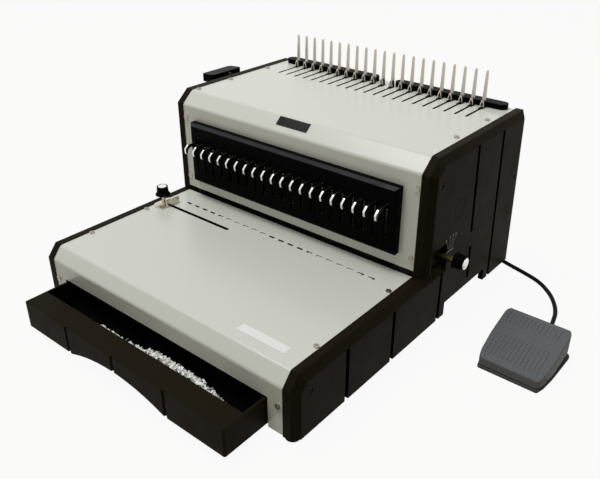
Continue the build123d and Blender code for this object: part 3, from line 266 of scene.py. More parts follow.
def body_name(node):
    """The body that a CAD node belongs to."""
    for body, nodes in frame["record"]["behaviour"]["bodies"].items():
        if node in nodes:
            return body
    raise ValueError("no body holds " + node)


def is_long_bend(edge):
    """Whether an edge is one of the long bends of a folded sheet, which run the machine's width."""
    return edge.calc_length() > LONG_EDGE and between(edge.calc_face_angle(), BEND_ANGLES)


def round_chosen(piece, radius, chosen):
    """Rounds only the edges that are chosen, with a radius of their own."""
    shape = bmesh.new()
    shape.from_mesh(piece.data)
    marks = [0.0] * len(piece.data.edges)
    for edge in shape.edges:
        if len(edge.link_faces) == 2 and chosen(edge):
            marks[edge.index] = 1.0
    shape.free()
    weights = piece.data.attributes.new("bevel_weight_edge", "FLOAT", "EDGE")
    weights.data.foreach_set("value", marks)
    bend = piece.modifiers.new("bends", "BEVEL")
    bend.width = radius
    bend.segments = 4
    bend.limit_method = "WEIGHT"
    bend.use_clamp_overlap = False
    apply_modifiers(piece)


def softened_copy(node, width, segments=2, degrees=30, rounded=None):
    """Copy of a CAD node with its edges rounded, which stands for the node."""
    pick(frame["nodes"][node])
    bpy.ops.object.duplicate()
    piece = bpy.context.object
    piece.name = node + "_soft"
    bpy.ops.object.parent_clear(type="CLEAR_KEEP_TRANSFORM")
    bpy.ops.object.mode_set(mode="EDIT")
    bpy.ops.mesh.select_all(action="SELECT")
    bpy.ops.mesh.remove_doubles(threshold=MERGE_GAP)
    bpy.ops.mesh.dissolve_limited(angle_limit=FLAT_ANGLE)
    bpy.ops.object.mode_set(mode="OBJECT")
    if rounded:
        round_chosen(piece, *rounded)
    bevelled(piece, width, segments, degrees)
    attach(piece, body_name(node))
    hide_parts(node)
    return piece


def dress(piece, material):
    """Gives a piece or a CAD node one material all over."""
    if piece.material_slots:
        for slot in piece.material_slots:
            slot.material = material
    else:
        piece.data.materials.append(material)


def dress_where(piece, material, belongs):
    """Gives a further material to the faces whose centre and normal pass a test."""
    piece.data.materials.append(material)
    number = len(piece.data.materials) - 1
    for face in piece.data.polygons:
        if belongs(face.center, face.normal):
            face.material_index = number


def shape_faces(piece, belongs):
    """Goes into edit mode with only the faces selected whose centre and normal pass a test."""
    pick(piece)
    bpy.ops.object.mode_set(mode="EDIT")
    bpy.ops.mesh.select_mode(type="FACE")
    bpy.ops.mesh.select_all(action="DESELECT")
    bpy.ops.object.mode_set(mode="OBJECT")
    for face in piece.data.polygons:
        face.select = belongs(face.center, face.normal)
    bpy.ops.object.mode_set(mode="EDIT")


def inset_faces(piece, belongs, rim, rise):
    """Insets the faces whose centre and normal pass a test, and raises or sinks what is inside."""
    shape_faces(piece, belongs)
    bpy.ops.mesh.inset(thickness=rim, depth=rise)
    bpy.ops.object.mode_set(mode="OBJECT")


def dished_disc(name, centre, radius, depth, axis, rim):
    """Thin disc whose outer face, on the positive side of its axis, has a raised rim."""
    piece = disc_piece(name, centre, radius, depth, axis)
    outwards = {"X": Vector((1, 0, 0)), "Y": Vector((0, 1, 0)), "Z": Vector((0, 0, 1))}[axis]
    inset_faces(
        piece, lambda place, normal: normal.dot(outwards) > 0.99, rim=rim, rise=-depth * 0.3
    )
    return piece


def plate_between(name, low, high, width, thickness, middle_x):
    """Thin plate with rounded corners that lies from one (y, z) point up to another."""
    run = Vector((0.0, high[0] - low[0], high[1] - low[1]))
    tilt = math.atan2(run.z, run.y)
    outwards = Vector((0.0, -math.sin(tilt), math.cos(tilt)))
    middle = Vector((middle_x, (low[0] + high[0]) / 2, (low[1] + high[1]) / 2))
    middle += outwards * thickness / 2
    deselect_all()
    bpy.ops.mesh.primitive_cube_add(size=1.0)
    piece = bpy.context.object
    piece.name = name
    piece.scale = (width, run.length, thickness)
    settle(piece)
    corners = piece.modifiers.new("corners", "BEVEL")
    corners.width = PLATE_CORNER_RADIUS
    corners.segments = 4
    corners.limit_method = "WEIGHT"
    weights = piece.data.attributes.new("bevel_weight_edge", "FLOAT", "EDGE")
    for edge, mark in zip(piece.data.edges, weights.data):
        ends = [piece.data.vertices[number].co for number in edge.vertices]
        mark.value = 1.0 if abs(ends[0].z - ends[1].z) > thickness / 2 else 0.0
    apply_modifiers(piece)
    bevelled(piece, thickness * 0.3)
    piece.rotation_euler = (tilt, 0.0, 0.0)
    piece.location = middle
    settle(piece)
    return piece


# Finishes

class Finish:
    """A node material, with the few steps that the finishes here are made of."""

    def __init__(self, name, colour, roughness, metallic=0.0):
        self.material = bpy.data.materials.new(name)
        self.material.use_nodes = True
        self.tree = self.material.node_tree
        self.shader = self.tree.nodes["Principled BSDF"]
        self.shader.inputs["Base Color"].default_value = (*colour, 1.0)
        self.shader.inputs["Roughness"].default_value = roughness
        self.shader.inputs["Metallic"].default_value = metallic
        self.colour = colour
        place = self.tree.nodes.new("ShaderNodeTexCoord")
        self.place = place.outputs["Object"]

    def stretched(self, scale):
        """Object coordinates stretched along an axis, as for a brushed grain."""
        mapping = self.tree.nodes.new("ShaderNodeMapping")
        mapping.inputs["Scale"].default_value = scale
        self.tree.links.new(self.place, mapping.inputs["Vector"])
        return mapping.outputs["Vector"]

    def noise(self, scale, detail=2.0, place=None):
        """Soft noise over the object, or over the stretched coordinates that are given."""
        noise = self.tree.nodes.new("ShaderNodeTexNoise")
        noise.inputs["Scale"].default_value = scale
        noise.inputs["Detail"].default_value = detail
        self.tree.links.new(place or self.place, noise.inputs["Vector"])
        return noise.outputs["Fac"]

    def spread(self, value, low, high):
        """Remaps a noise from where most of it lies to the range from low to high."""
        remap = self.tree.nodes.new("ShaderNodeMapRange")
        remap.inputs["From Min"].default_value = NOISE_LOW
        remap.inputs["From Max"].default_value = NOISE_HIGH
        remap.inputs["To Min"].default_value = low
        remap.inputs["To Max"].default_value = high
        remap.clamp = False
        self.tree.links.new(value, remap.inputs["Value"])
        return remap.outputs["Result"]

    def vary_colour(self, value, darker, lighter):
        """Base colour that moves between a darker and a lighter shade."""
        mix = self.tree.nodes.new("ShaderNodeMix")
        mix.data_type = "RGBA"
        mix.inputs["A"].default_value = (*[c * darker for c in self.colour], 1.0)
        mix.inputs["B"].default_value = (*[min(1.0, c * lighter) for c in self.colour], 1.0)
        self.tree.links.new(value, mix.inputs["Factor"])
        self.tree.links.new(mix.outputs["Result"], self.shader.inputs["Base Color"])

    def darken_below(self, height):
        """Turns the base colour nearly black below a height, over a soft step."""
        half_step = 0.001
        split = self.tree.nodes.new("ShaderNodeSeparateXYZ")
        step = self.tree.nodes.new("ShaderNodeMapRange")
        step.inputs["From Min"].default_value = height - half_step
        step.inputs["From Max"].default_value = height + half_step
        mix = self.tree.nodes.new("ShaderNodeMix")
        mix.data_type = "RGBA"
        mix.inputs["A"].default_value = (0.015, 0.014, 0.013, 1.0)
        above = self.shader.inputs["Base Color"].links[0].from_socket
        self.tree.links.new(self.place, split.inputs["Vector"])
        self.tree.links.new(split.outputs["Z"], step.inputs["Value"])
        self.tree.links.new(step.outputs["Result"], mix.inputs["Factor"])
        self.tree.links.new(above, mix.inputs["B"])
        self.tree.links.new(mix.outputs["Result"], self.shader.inputs["Base Color"])

    def vary_roughness(self, value, low, high):
        """Roughness that moves between two values."""
        self.tree.links.new(self.spread(value, low, high), self.shader.inputs["Roughness"])

    def bump(self, value, strength, depth):
        """Fine relief, its depth in metres."""
        bump = self.tree.nodes.new("ShaderNodeBump")
        bump.inputs["Strength"].default_value = strength
        bump.inputs["Distance"].default_value = depth
        self.tree.links.new(value, bump.inputs["Height"])
        self.tree.links.new(bump.outputs["Normal"], self.shader.inputs["Normal"])


def cover_paint(colour):
    """Baked powder paint on sheet steel, with a fine orange peel."""
    finish = Finish("cover_paint", colour, 0.26)
    finish.vary_colour(finish.noise(5.0, 1.0), 0.995, 1.003)
    finish.vary_roughness(finish.noise(12.0, 1.0), 0.25, 0.27)
    finish.bump(finish.noise(420.0, 1.0), 0.015, 0.0002)
    return finish.material


def grained_plastic(
    name, colour, roughness, grain=1500.0, strength=0.25, gloss=0.03, tint=(1.0, 1.0, 1.0)
):
    """Moulded plastic with a spark-eroded grain."""
    finish = Finish(name, colour, roughness)
    finish.vary_colour(finish.noise(10.0, 2.0), 0.93, 1.08)
    finish.vary_roughness(finish.noise(40.0, 2.0), roughness - 0.04, roughness + 0.05)
    finish.bump(finish.noise(grain, 3.0), strength, 0.00025)
    finish.shader.inputs["Specular IOR Level"].default_value = gloss
    finish.shader.inputs["Specular Tint"].default_value = (*tint, 1.0)
    return finish.material


def rubber_finish(name, colour):
    """Dull black rubber or cord sheath."""
    finish = Finish(name, colour, 0.72)
    finish.vary_colour(finish.noise(30.0, 3.0), 0.85, 1.15)
    finish.bump(finish.noise(600.0, 2.0), 0.03, 0.0002)
    finish.shader.inputs["Specular IOR Level"].default_value = 0.1
    return finish.material


def plated_steel(name, colour, roughness, along=(1.0, 30.0, 30.0), strength=0.08, dark_below=None):
    """Plated or ground steel with a grain that runs one way, turned nearly black below a height if given.
    """
    finish = Finish(name, colour, roughness, metallic=1.0)
    grain = finish.noise(90.0, 3.0, finish.stretched(along))
    finish.vary_colour(grain, 0.90, 1.06)
    finish.vary_roughness(grain, roughness - 0.05, roughness + 0.07)
    finish.bump(grain, strength, 0.0002)
    if dark_below is not None:
        finish.darken_below(dark_below)
    return finish.material


def paper_finish(name, colour):
    """Matt paper."""
    finish = Finish(name, colour, 0.85)
    finish.vary_colour(finish.noise(80.0, 4.0), 0.94, 1.04)
    finish.bump(finish.noise(2500.0, 2.0), 0.15, 0.0001)
    return finish.material


def printed_ink(name, colour):
    """Ink printed on a moulding, a little uneven where the grain shows through."""
    finish = Finish(name, colour, 0.6)
    finish.vary_colour(finish.noise(600.0, 3.0), 0.86, 1.08)
    finish.bump(finish.noise(1500.0, 3.0), 0.2, 0.0001)
    return finish.material


class MachineLook(bpy.types.PropertyGroup):
    """Colours and sizes that a user would change."""

    cover_colour: bpy.props.FloatVectorProperty(
        name="Cover paint", description="Colour of the painted covers",
        default=(0.68, 0.69, 0.635), size=3, min=0.0, max=1.0, subtype="COLOR",
    )
    cap_colour: bpy.props.FloatVectorProperty(
        name="Side caps", description="Colour of the side caps and the drawer",
        default=(0.0125, 0.0096, 0.0056), size=3, min=0.0, max=1.0, subtype="COLOR",
    )
    black_colour: bpy.props.FloatVectorProperty(
        name="Black plastic", description="Colour of the bezel, knobs and lever grip",
        default=(0.0014, 0.0013, 0.0012), size=3, min=0.0, max=1.0, subtype="COLOR",
    )
    pedal_colour: bpy.props.FloatVectorProperty(
        name="Pedal", description="Colour of the foot pedal",
        default=(0.130, 0.133, 0.142), size=3, min=0.0, max=1.0, subtype="COLOR",
    )
    edge_round: bpy.props.FloatProperty(
        name="Moulded edge", description="Rounding along the edges of the moulded parts",
        default=0.0007, min=0.0001, max=0.002, unit="LENGTH",
    )
    chip_count: bpy.props.IntProperty(
        name="Paper chips", description="Loose paper chips shown in the drawer",
        default=520, min=0, max=900,
    )


def look():
    """The settings that the panel shows."""
    return bpy.context.scene.machine_look


class MACHINE_OT_camera(bpy.types.Operator):
    """Place the camera where the photograph was taken from"""

    bl_idname = "machine.camera"
    bl_label = "Camera"

    def execute(self, context):
        camera = bpy.data.objects.new("photo_camera", bpy.data.cameras.new("photo_camera"))
        context.scene.collection.objects.link(camera)
        camera.location = CAMERA_PLACE
        camera.rotation_euler = (math.pi / 2 - CAMERA_DOWN, 0.0, CAMERA_YAW)
        camera.data.lens = CAMERA_LENS
        camera.data.sensor_width = CAMERA_SENSOR
        camera.data.clip_start = 0.01
        context.scene.camera = camera
        return {"FINISHED"}


class MACHINE_OT_cord(bpy.types.Operator):
    """Lay the pedal's cord from the back of the machine, through its coil, to the pedal"""

    bl_idname = "machine.cord"
    bl_label = "Pedal cord"

    def coil_points(self):
        """Six turns in two layers of three, wound from the outside in and back out."""
        rise_turn, last_turn, inner_column = 2.5, 5.5, 2.0
        end_step = COIL_STEPS * COIL_TURNS + COIL_STEPS // 2 - 1
        points = []
        for step in range(COIL_FIRST_STEP, end_step):
            turn = step / COIL_STEPS
            layer_turn = min(turn, COIL_TURNS)
            column = layer_turn if layer_turn < rise_turn else last_turn - layer_turn
            column = max(0.0, min(inner_column, column))
            radius = COIL_RADIUS - column * CORD_DIAMETER
            height = CORD_DIAMETER / 2 + CORD_DIAMETER * max(0.0, min(1.0, turn - rise_turn))
            angle = math.pi / 2 + 2 * math.pi * turn
            x = COIL_CENTRE.x + radius * math.cos(angle)
            y = COIL_CENTRE.y + radius * math.sin(angle)
            points.append((x, y, height))
        return points

    def execute(self, context):
        curve = bpy.data.curves.new("pedal_cord_line", "CURVE")
        curve.dimensions = "3D"
        curve.bevel_depth = CORD_DIAMETER / 2
        curve.bevel_resolution = 5
        curve.resolution_u = 8
        points = MACHINE_ROUTE + self.coil_points() + PEDAL_ROUTE
        spline = curve.splines.new("NURBS")
        spline.points.add(len(points) - 1)
        for point, place in zip(spline.points, points):
            point.co = (*place, 1.0)
        spline.order_u = 3
        spline.use_endpoint_u = True
        cord = bpy.data.objects.new("pedal_cord_line", curve)
        context.scene.collection.objects.link(cord)
        dress(cord, rubber_finish("cord_sheath", (0.006, 0.006, 0.006)))
        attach(cord, "machine")
        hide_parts("machine_cord", "cord_coil", "pedal_cord")
        return {"FINISHED"}


def over_window(x):
    """Whether a place along the row lies over a window of the strip under the tray's slots."""
    return any(low - WINDOW_MARGIN < x < high + WINDOW_MARGIN for low, high in STRIP_WINDOWS)


def is_slot_wall(place, normal, sheet_z, rows_y):
    """Whether a face is a wall of a slot that is cut through a level sheet, in a range of y."""
    upright = abs(normal.z) < 0.5 and place.z > sheet_z - SLOT_DEPTH
    return upright and abs(place.x) < SLOT_FIELD_X and between(place.y, rows_y)


class MACHINE_OT_covers(bpy.types.Operator):
    """Paint the sheet steel covers, round their bends and give the walls of their slots painted shade"""

    bl_idname = "machine.covers"
    bl_label = "Painted covers"

    def execute(self, context):
        paint = cover_paint(look().cover_colour)
        # Near black and grey for painted shade on the walls of the slots
        painted_shade = grained_plastic("slot_painted_shade", (0.006, 0.006, 0.006), 0.6, strength=0.1)
        grey = grained_plastic("slot_wall_grey_painted_shade", (0.22, 0.22, 0.20), 0.6, strength=0.1)
        bends = (BEND_RADIUS, is_long_bend)
        tray = softened_copy("tray_cover", 0.0002, degrees=20, rounded=bends)
        upper = softened_copy("upper_cover", 0.0002, degrees=20, rounded=bends)
        rear = softened_copy("rear_cover", 0.0003, degrees=20)
        for piece in (tray, upper, rear):
            dress(piece, paint)
        # Painted shade on the slot walls: grey where the tray's slots lie over the white strip, near
        # black over its windows, at the guide's slot and at the fingers' slots
        dress_where(
            tray, grey, lambda place, normal: is_slot_wall(place, normal, TRAY_Z, TRAY_SLOTS_Y)
        )
        dress_where(
            tray, painted_shade,
            lambda place, normal: is_slot_wall(place, normal, TRAY_Z, GUIDE_SLOT_Y)
            or (is_slot_wall(place, normal, TRAY_Z, TRAY_SLOTS_Y) and over_window(place.x)),
        )
        dress_where(
            upper, painted_shade, lambda place, normal: is_slot_wall(place, normal, TOP_Z, FINGER_SLOTS_Y)
        )
        return {"FINISHED"}


class MACHINE_OT_mouldings(bpy.types.Operator):
    """Give the side caps, drawer, bezel and small mouldings their plastic and soft edges, with painted
    shade in the caps' grooves, the dial's pocket and the drawer, and a painted sheen on the bezel's
    chamfer
    """

    bl_idname = "machine.mouldings"
    bl_label = "Mouldings"

    def execute(self, context):
        settings = look()
        dark = grained_plastic(
            "cap_plastic", settings.cap_colour, 0.48, gloss=0.02, tint=(1.0, 0.78, 0.5)
        )
        black = grained_plastic(
            "black_plastic", settings.black_colour, 0.36, strength=0.15, gloss=0.015
        )
        # Near black for painted shade in grooves and hollows
        painted_shade = grained_plastic("groove_painted_shade", (0.002, 0.002, 0.002), 0.7, strength=0.1, gloss=0.01)
        # A glossier, lighter bluish black for a painted sheen on the bezel's chamfer
        painted_sheen = grained_plastic("bezel_painted_sheen", (0.006, 0.007, 0.010), 0.2, strength=0.05, gloss=0.3)
        for node in ("left_side_cap", "right_side_cap"):
            cap = softened_copy(node, settings.edge_round, segments=3)
            dress(cap, dark)
            # Painted shade on the walls and floors of the grooves, without their rounded edges
            dress_where(
                cap, painted_shade,
                lambda place, normal: between(abs(place.x), CAP_GROOVE_X)
                and not 0.3 <= abs(normal.x) <= 0.98,
            )
            # Painted shade inside the pocket that the dial sits in
            dress_where(cap, painted_shade, lambda place, normal: inside_box(place, DIAL_POCKET))
        drawer = softened_copy("chip_drawer", settings.edge_round)
        dress(drawer, dark)
        # Painted shade inside the drawer
        dress_where(drawer, painted_shade, lambda place, normal: inside_box(place, DRAWER_INSIDE))
        bezel = softened_copy("lever_bezel", 0.0005, segments=3)
        dress(bezel, black)
        # The slope along the top of the front: a glossier finish, with a lighter bluish colour as painted
        # sheen
        dress_where(
            bezel, painted_sheen,
            lambda place, normal: normal.z > 0.4 and normal.y < -0.4 and place.z > BEZEL_CHAMFER_Z,
        )
        for node in ("comb_rest_bars", "depth_knob", "opener_grip"):
            dress(softened_copy(node, 0.0005, segments=3), black)
        for node in ("power_inlet", "power_rocker"):
            dress(softened_copy(node, 0.0003), black)
        return {"FINISHED"}


class MACHINE_OT_guide(bpy.types.Operator):
    """Finish the paper guide, its stud and its clamp knob"""

    bl_idname = "machine.guide"
    bl_label = "Paper guide"

    def execute(self, context):
        plated = plated_steel("guide_nickel", (0.66, 0.60, 0.50), 0.24, along=(2.0, 30.0, 30.0))
        black = grained_plastic("knob_plastic", look().black_colour, 0.34, strength=0.15)
        dress(softened_copy("side_guide", 0.0003), plated)
        knob = softened_copy("guide_knob", 0.0004)
        dress(knob, black)
        collar_top_z = TRAY_Z + 0.0114
        dress_where(knob, plated, lambda place, normal: place.z < collar_top_z)
        return {"FINISHED"}


class MACHINE_OT_pedal(bpy.types.Operator):
    """Finish the foot pedal"""

    bl_idname = "machine.pedal"
    bl_label = "Foot pedal"

    def execute(self, context):
        settings = look()
        grey = grained_plastic(
            "pedal_plastic", settings.pedal_colour, 0.5, grain=700.0, strength=0.02, gloss=0.08
        )
        # Darker grey for the pedal's base, and for painted shade on the treadle's underside
        dark = grained_plastic("pedal_base_plastic_and_painted_shade", [c * 0.7 for c in settings.pedal_colour], 0.6)
        rim = (TREADLE_RIM_RADIUS, self.on_top_rim)
        treadle = softened_copy("pedal_treadle", 0.00025, rounded=rim)
        dress(treadle, grey)
        # Painted shade on the faces of the treadle that look down
        dress_where(treadle, dark, lambda place, normal: normal.z < -0.2)
        dress(softened_copy("pedal_base", 0.0005), dark)
        return {"FINISHED"}

    def on_top_rim(self, edge):
        """Whether an edge of the treadle runs round the rim of its top."""
        low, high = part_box("pedal_treadle")
        side_room, end_room, lowest_rim_z = 0.0045, 0.004, 0.0125
        level_tilt, least_bend = 0.6, 0.5
        middle = (edge.verts[0].co + edge.verts[1].co) / 2
        tilts = sorted(face.normal.z for face in edge.link_faces)
        inside = (
            low.x + side_room < middle.x < high.x - side_room
            and low.y + end_room < middle.y < high.y - end_room
        )
        bends = between(level_tilt, tilts) and edge.calc_face_angle() > least_bend
        return middle.z > lowest_rim_z and bends and not inside


class MACHINE_OT_metalwork(bpy.types.Operator):
    """Finish the frame, the punching and opening metalwork, the fasteners and the rubber parts"""

    bl_idname = "machine.metalwork"
    bl_label = "Metalwork"

    def execute(self, context):
        frame_steel = plated_steel("frame_steel", (0.50, 0.50, 0.50), 0.42)
        tool_steel = plated_steel("tool_steel", (0.40, 0.40, 0.41), 0.34)
        # Dark steel for the frame and the punching parts, and for painted shade on the hook plate below
        # the top cover
        blued_and_painted_shade = plated_steel("blued_steel_and_painted_shade", (0.035, 0.034, 0.033), 0.45)
        fingers = plated_steel(
            "finger_nickel", (0.60, 0.55, 0.47), 0.30, along=(30.0, 30.0, 2.0), dark_below=FINGER_BASE_Z
        )
        plated = plated_steel("hook_nickel", (0.66, 0.62, 0.54), 0.26, along=(30.0, 3.0, 3.0))
        bright = plated_steel(
            "bright_nickel", (0.84, 0.82, 0.78), 0.16, along=(30.0, 3.0, 30.0), strength=0.04
        )
        # Dark nickel for a painted dark reflection on the flat sides of the levers
        lever_side_painted_reflection = plated_steel("lever_side_painted_reflection", (0.09, 0.085, 0.08), 0.30, along=(30.0, 3.0, 30.0))
        # Dark nickel for painted shade on the flat sides of the hooks
        hook_side_painted_shade = plated_steel("hook_side_painted_shade", (0.07, 0.065, 0.06), 0.35)
        screw = plated_steel("screw_nickel", (0.46, 0.42, 0.37), 0.26)
        brass = plated_steel("yellow_nickel", (0.22, 0.18, 0.11), 0.30)
        rubber = rubber_finish("foot_rubber", (0.014, 0.014, 0.014))
        white = grained_plastic("white_plastic", (0.80, 0.80, 0.78), 0.5)
        nodes = frame["nodes"]
        for node in ("base_plate", "gear_motor", "opener_shaft", "pedal_spring"):
            dress(nodes[node], frame_steel)
        for node in ("punch_pins", "cam_shaft", "motor_pinion"):
            dress(nodes[node], tool_steel)
        for node in ("side_frame", "die_block", "pin_guide_block", "punch_ram"):
            dress(nodes[node], blued_and_painted_shade)
        dress(softened_copy("comb_fingers", 0.0003), fingers)
        dress(softened_copy("opener_arm", 0.0004), plated)
        hooks = softened_copy("hook_plate", 0.00025)
        dress(hooks, plated)
        # Painted shade on the hooks' flat sides and on the hook plate below the top cover
        dress_where(hooks, hook_side_painted_shade, faces_sideways)
        under_cover_z = TOP_Z - 0.0002
        dress_where(hooks, blued_and_painted_shade, lambda place, normal: place.z < under_cover_z)
        for number in range(1, HOLE_COUNT + 1):
            pull = softened_copy("pin_pull_%02d" % number, 0.00035, segments=3)
            dress(pull, bright)
            # Painted dark reflection on the levers' flat sides
            dress_where(pull, lever_side_painted_reflection, faces_sideways)
        dress(nodes["cover_screws"], screw)
        dress(nodes["depth_stop_rod"], brass)
        dress(nodes["pedal_pin"], brass)
        for node in ("feet", "cord_gland"):
            dress(nodes[node], rubber)
        dress(nodes["slot_backing_strip"], white)
        return {"FINISHED"}


class MACHINE_OT_chips(bpy.types.Operator):
    """Drop loose paper chips into the front of the drawer"""

    bl_idname = "machine.chips"
    bl_label = "Paper chips"

    def curled_chip(self):
        """One strip of paper with its ends bent up."""
        deselect_all()
        bpy.ops.mesh.primitive_cube_add(size=1.0)
        chip = bpy.context.object
        chip.scale = [side * MM for side in CHIP_SIZE]
        settle(chip)
        bpy.ops.object.mode_set(mode="EDIT")
        bpy.ops.mesh.select_all(action="SELECT")
        bpy.ops.mesh.subdivide(number_cuts=1)
        bpy.ops.object.mode_set(mode="OBJECT")
        shape_faces(chip, lambda place, normal: abs(normal.x) > 0.9)
        bpy.ops.transform.translate(value=(0.0, 0.0, CHIP_CURL * MM))
        bpy.ops.object.mode_set(mode="OBJECT")
        return chip

    def drop_place(self, chance):
        """Where a chip lies: most are in one wide heap, and the others round a few places."""
        if chance.random() < HEAP_SHARE:
            x = chance.gauss(HEAP_MIDDLE_X, HEAP_SPREAD_X)
        else:
            x = chance.gauss(chance.choice(STRAYS_X), STRAYS_SPREAD_X)
        x = max(-HEAP_REACH_X, min(HEAP_REACH_X, x))
        from_middle = abs((x - HEAP_MIDDLE_X) / HEAP_HALF_WIDTH)
        ridge_z = HEAP_EDGE_Z + HEAP_RISE_Z * math.exp(-from_middle ** 5)
        back = min(HEAP_REACH_Y, abs(chance.gauss(0.0, HEAP_SPREAD_Y)))
        z = ridge_z - HEAP_SLOPE * back - abs(chance.gauss(0.0, HEAP_SPREAD_Z))
        return (x * MM, (HEAP_FRONT_Y + back) * MM, z * MM)

    def execute(self, context):
        if look().chip_count == 0:
            return {"FINISHED"}
        chance = random.Random(21)
        first = self.curled_chip()
        chips = []
        for _ in range(look().chip_count):
            place = self.drop_place(chance)
            chip = first.copy()
            chip.data = first.data.copy()
            context.scene.collection.objects.link(chip)
            chip.location = place
            chip.rotation_euler = [chance.uniform(-turn, turn) for turn in CHIP_TURNS]
            chips.append(chip)
        bpy.data.objects.remove(first)
        heap = joined(chips, "paper_chips")
        settle(heap)
        dress(heap, paper_finish("chip_paper", (0.95, 0.95, 0.93)))
        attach(heap, "drawer")
        return {"FINISHED"}


class MACHINE_OT_knob_caps(bpy.types.Operator):
    """Add the bright caps of the dial and of the guide's knob"""

    bl_idname = "machine.knob_caps"
    bl_label = "Knob caps"

    def execute(self, context):
        sunk, thickness = 0.0004, 0.0012
        bright = plated_steel("cap_chrome", (0.88, 0.87, 0.85), 0.12, strength=0.03)
        low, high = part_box("depth_knob")
        centre = (high.x - sunk, (low.y + high.y) / 2, (low.z + high.z) / 2)
        cap = dished_disc("dial_cap", centre, radius=0.0066, depth=thickness, axis="X", rim=0.0011)
        bevelled(cap, 0.0002)
        dress(cap, bright)
        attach(cap, "dial")
        low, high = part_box("guide_knob")
        centre = ((low.x + high.x) / 2, (low.y + high.y) / 2, high.z - sunk)
        cap = dished_disc(
            "guide_knob_cap", centre, radius=0.0055, depth=thickness, axis="Z", rim=0.0008
        )
        bevelled(cap, 0.0002)
        dress(cap, bright)
        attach(cap, "guide_clamp")
        return {"FINISHED"}


class MACHINE_OT_cap_screws(bpy.types.Operator):
    """Put a socket head screw into each recess of the side caps"""

    bl_idname = "machine.cap_screws"
    bl_label = "Side cap screws"

    def execute(self, context):
        recess, head_radius, head = 2.0 * MM, 2.9 * MM, 1.5 * MM
        socket_radius, socket_length = 1.5 * MM, 3.2 * MM
        screws = []
        for side in (-1, 1):
            for y, z in ((-197.5, 57.3), (11.3, 183.2), (194.0, 131.7)):
                middle = (side * (CAP_SIDE_X - recess + head / 2), y * MM, z * MM)
                mouth = (side * CAP_SIDE_X, y * MM, z * MM)
                screw = disc_piece("screw", middle, head_radius, head, axis="X", sides=24)
                socket = disc_piece("socket", mouth, socket_radius, socket_length, axis="X", sides=6)
                cut = screw.modifiers.new("socket", "BOOLEAN")
                cut.object = socket
                cut.operation = "DIFFERENCE"
                apply_modifiers(screw)
                bpy.data.objects.remove(socket)
                bevelled(screw, 0.0002)
                screws.append(screw)
        screws = joined(screws, "cap_screws")
        black = grained_plastic("blackened_steel", (0.005, 0.005, 0.005), 0.4, strength=0.1, gloss=0.06)
        dress(screws, black)
        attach(screws, "machine")
        return {"FINISHED"}


class MACHINE_OT_plates(bpy.types.Operator):
    """Add the two blank plates and the printed mark of a bar and four lines beside the dial"""

    bl_idname = "machine.plates"
    bl_label = "Blank plates and mark"

    def execute(self, context):
        plate = plate_between(
            "front_plate", (2.3 * MM, 201.56 * MM), (11.4 * MM, 209.31 * MM),
            width=45.5 * MM, thickness=0.4 * MM, middle_x=-1.25 * MM,
        )
        black = grained_plastic("plate_black", (0.004, 0.004, 0.005), 0.3, strength=0.05, gloss=0.15)
        dress(plate, black)
        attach(plate, "machine")
        plate = plate_between(
            "tray_plate", (-192.5 * MM, TRAY_Z), (-182.0 * MM, TRAY_Z),
            width=60.1 * MM, thickness=0.3 * MM, middle_x=125.55 * MM,
        )
        dress(plate, grained_plastic("plate_white", (0.86, 0.87, 0.86), 0.4, strength=0.05))
        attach(plate, "machine")
        self.mark()
        return {"FINISHED"}

    def mark(self):
        """A bar with four lines that fan out from it, each ending in a dot."""
        thickness = 0.12 * MM
        face_x = CAP_SIDE_X + thickness / 2
        bar_width, line_width, dot_radius = 1.3, 0.55, 1.1 * MM
        roots_y, roots_z = (40.2, 43.4, 46.2, 49.2), 98.0
        tips = ((33.8, 110.6), (41.6, 112.1), (48.6, 112.0), (55.2, 110.8))
        strokes = [((37.2, 94.5), (52.0, 94.5), bar_width)]
        strokes += [((root_y, roots_z), tip, line_width) for root_y, tip in zip(roots_y, tips)]
        pieces = []
        for start, end, width in strokes:
            deselect_all()
            bpy.ops.mesh.primitive_cube_add(size=1.0)
            stroke = bpy.context.object
            stroke.scale = (thickness, math.dist(start, end) * MM, width * MM)
            settle(stroke)
            stroke.rotation_euler = (math.atan2(end[1] - start[1], end[0] - start[0]), 0.0, 0.0)
            stroke.location = (face_x, (start[0] + end[0]) / 2 * MM, (start[1] + end[1]) / 2 * MM)
            settle(stroke)
            pieces.append(stroke)
        for y, z in tips:
            dot = disc_piece("dot", (face_x, y * MM, z * MM), dot_radius, thickness, axis="X", sides=20)
            pieces.append(dot)
        mark = joined(pieces, "side_mark")
        bevelled(mark, thickness * 0.25, segments=1)
        dress(mark, printed_ink("mark_white", (0.40, 0.39, 0.36)))
        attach(mark, "machine")


class MACHINE_OT_gland_ribs(bpy.types.Operator):
    """Add the ribs round the tapered gland that the pedal's cord comes out of"""

    bl_idname = "machine.gland_ribs"
    bl_label = "Gland ribs"

    def execute(self, context):
        tip_x, tip_y, tip_z = MACHINE_ROUTE[0]
        gland_length, wide_radius, taper = 11.5 * MM, 4.8 * MM, 1.5 * MM
        rib_count, rib_width, rib_height = 5, 1.0 * MM, 0.25 * MM
        ribs = []
        for number in range(rib_count):
            share = (number + 0.5) / rib_count
            radius = wide_radius - taper * share + rib_height
            y = tip_y - gland_length * (1 - share)
            rib = disc_piece("rib", (tip_x, y, tip_z), radius, rib_width, axis="Y", sides=32)
            inset_faces(rib, lambda place, normal: abs(normal.y) > 0.99, rim=0.3 * MM, rise=0.0)
            ribs.append(rib)
        ribs = joined(ribs, "gland_ribs")
        bevelled(ribs, 0.0003)
        dress(ribs, rubber_finish("gland_rubber", (0.014, 0.014, 0.014)))
        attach(ribs, "machine")
        return {"FINISHED"}


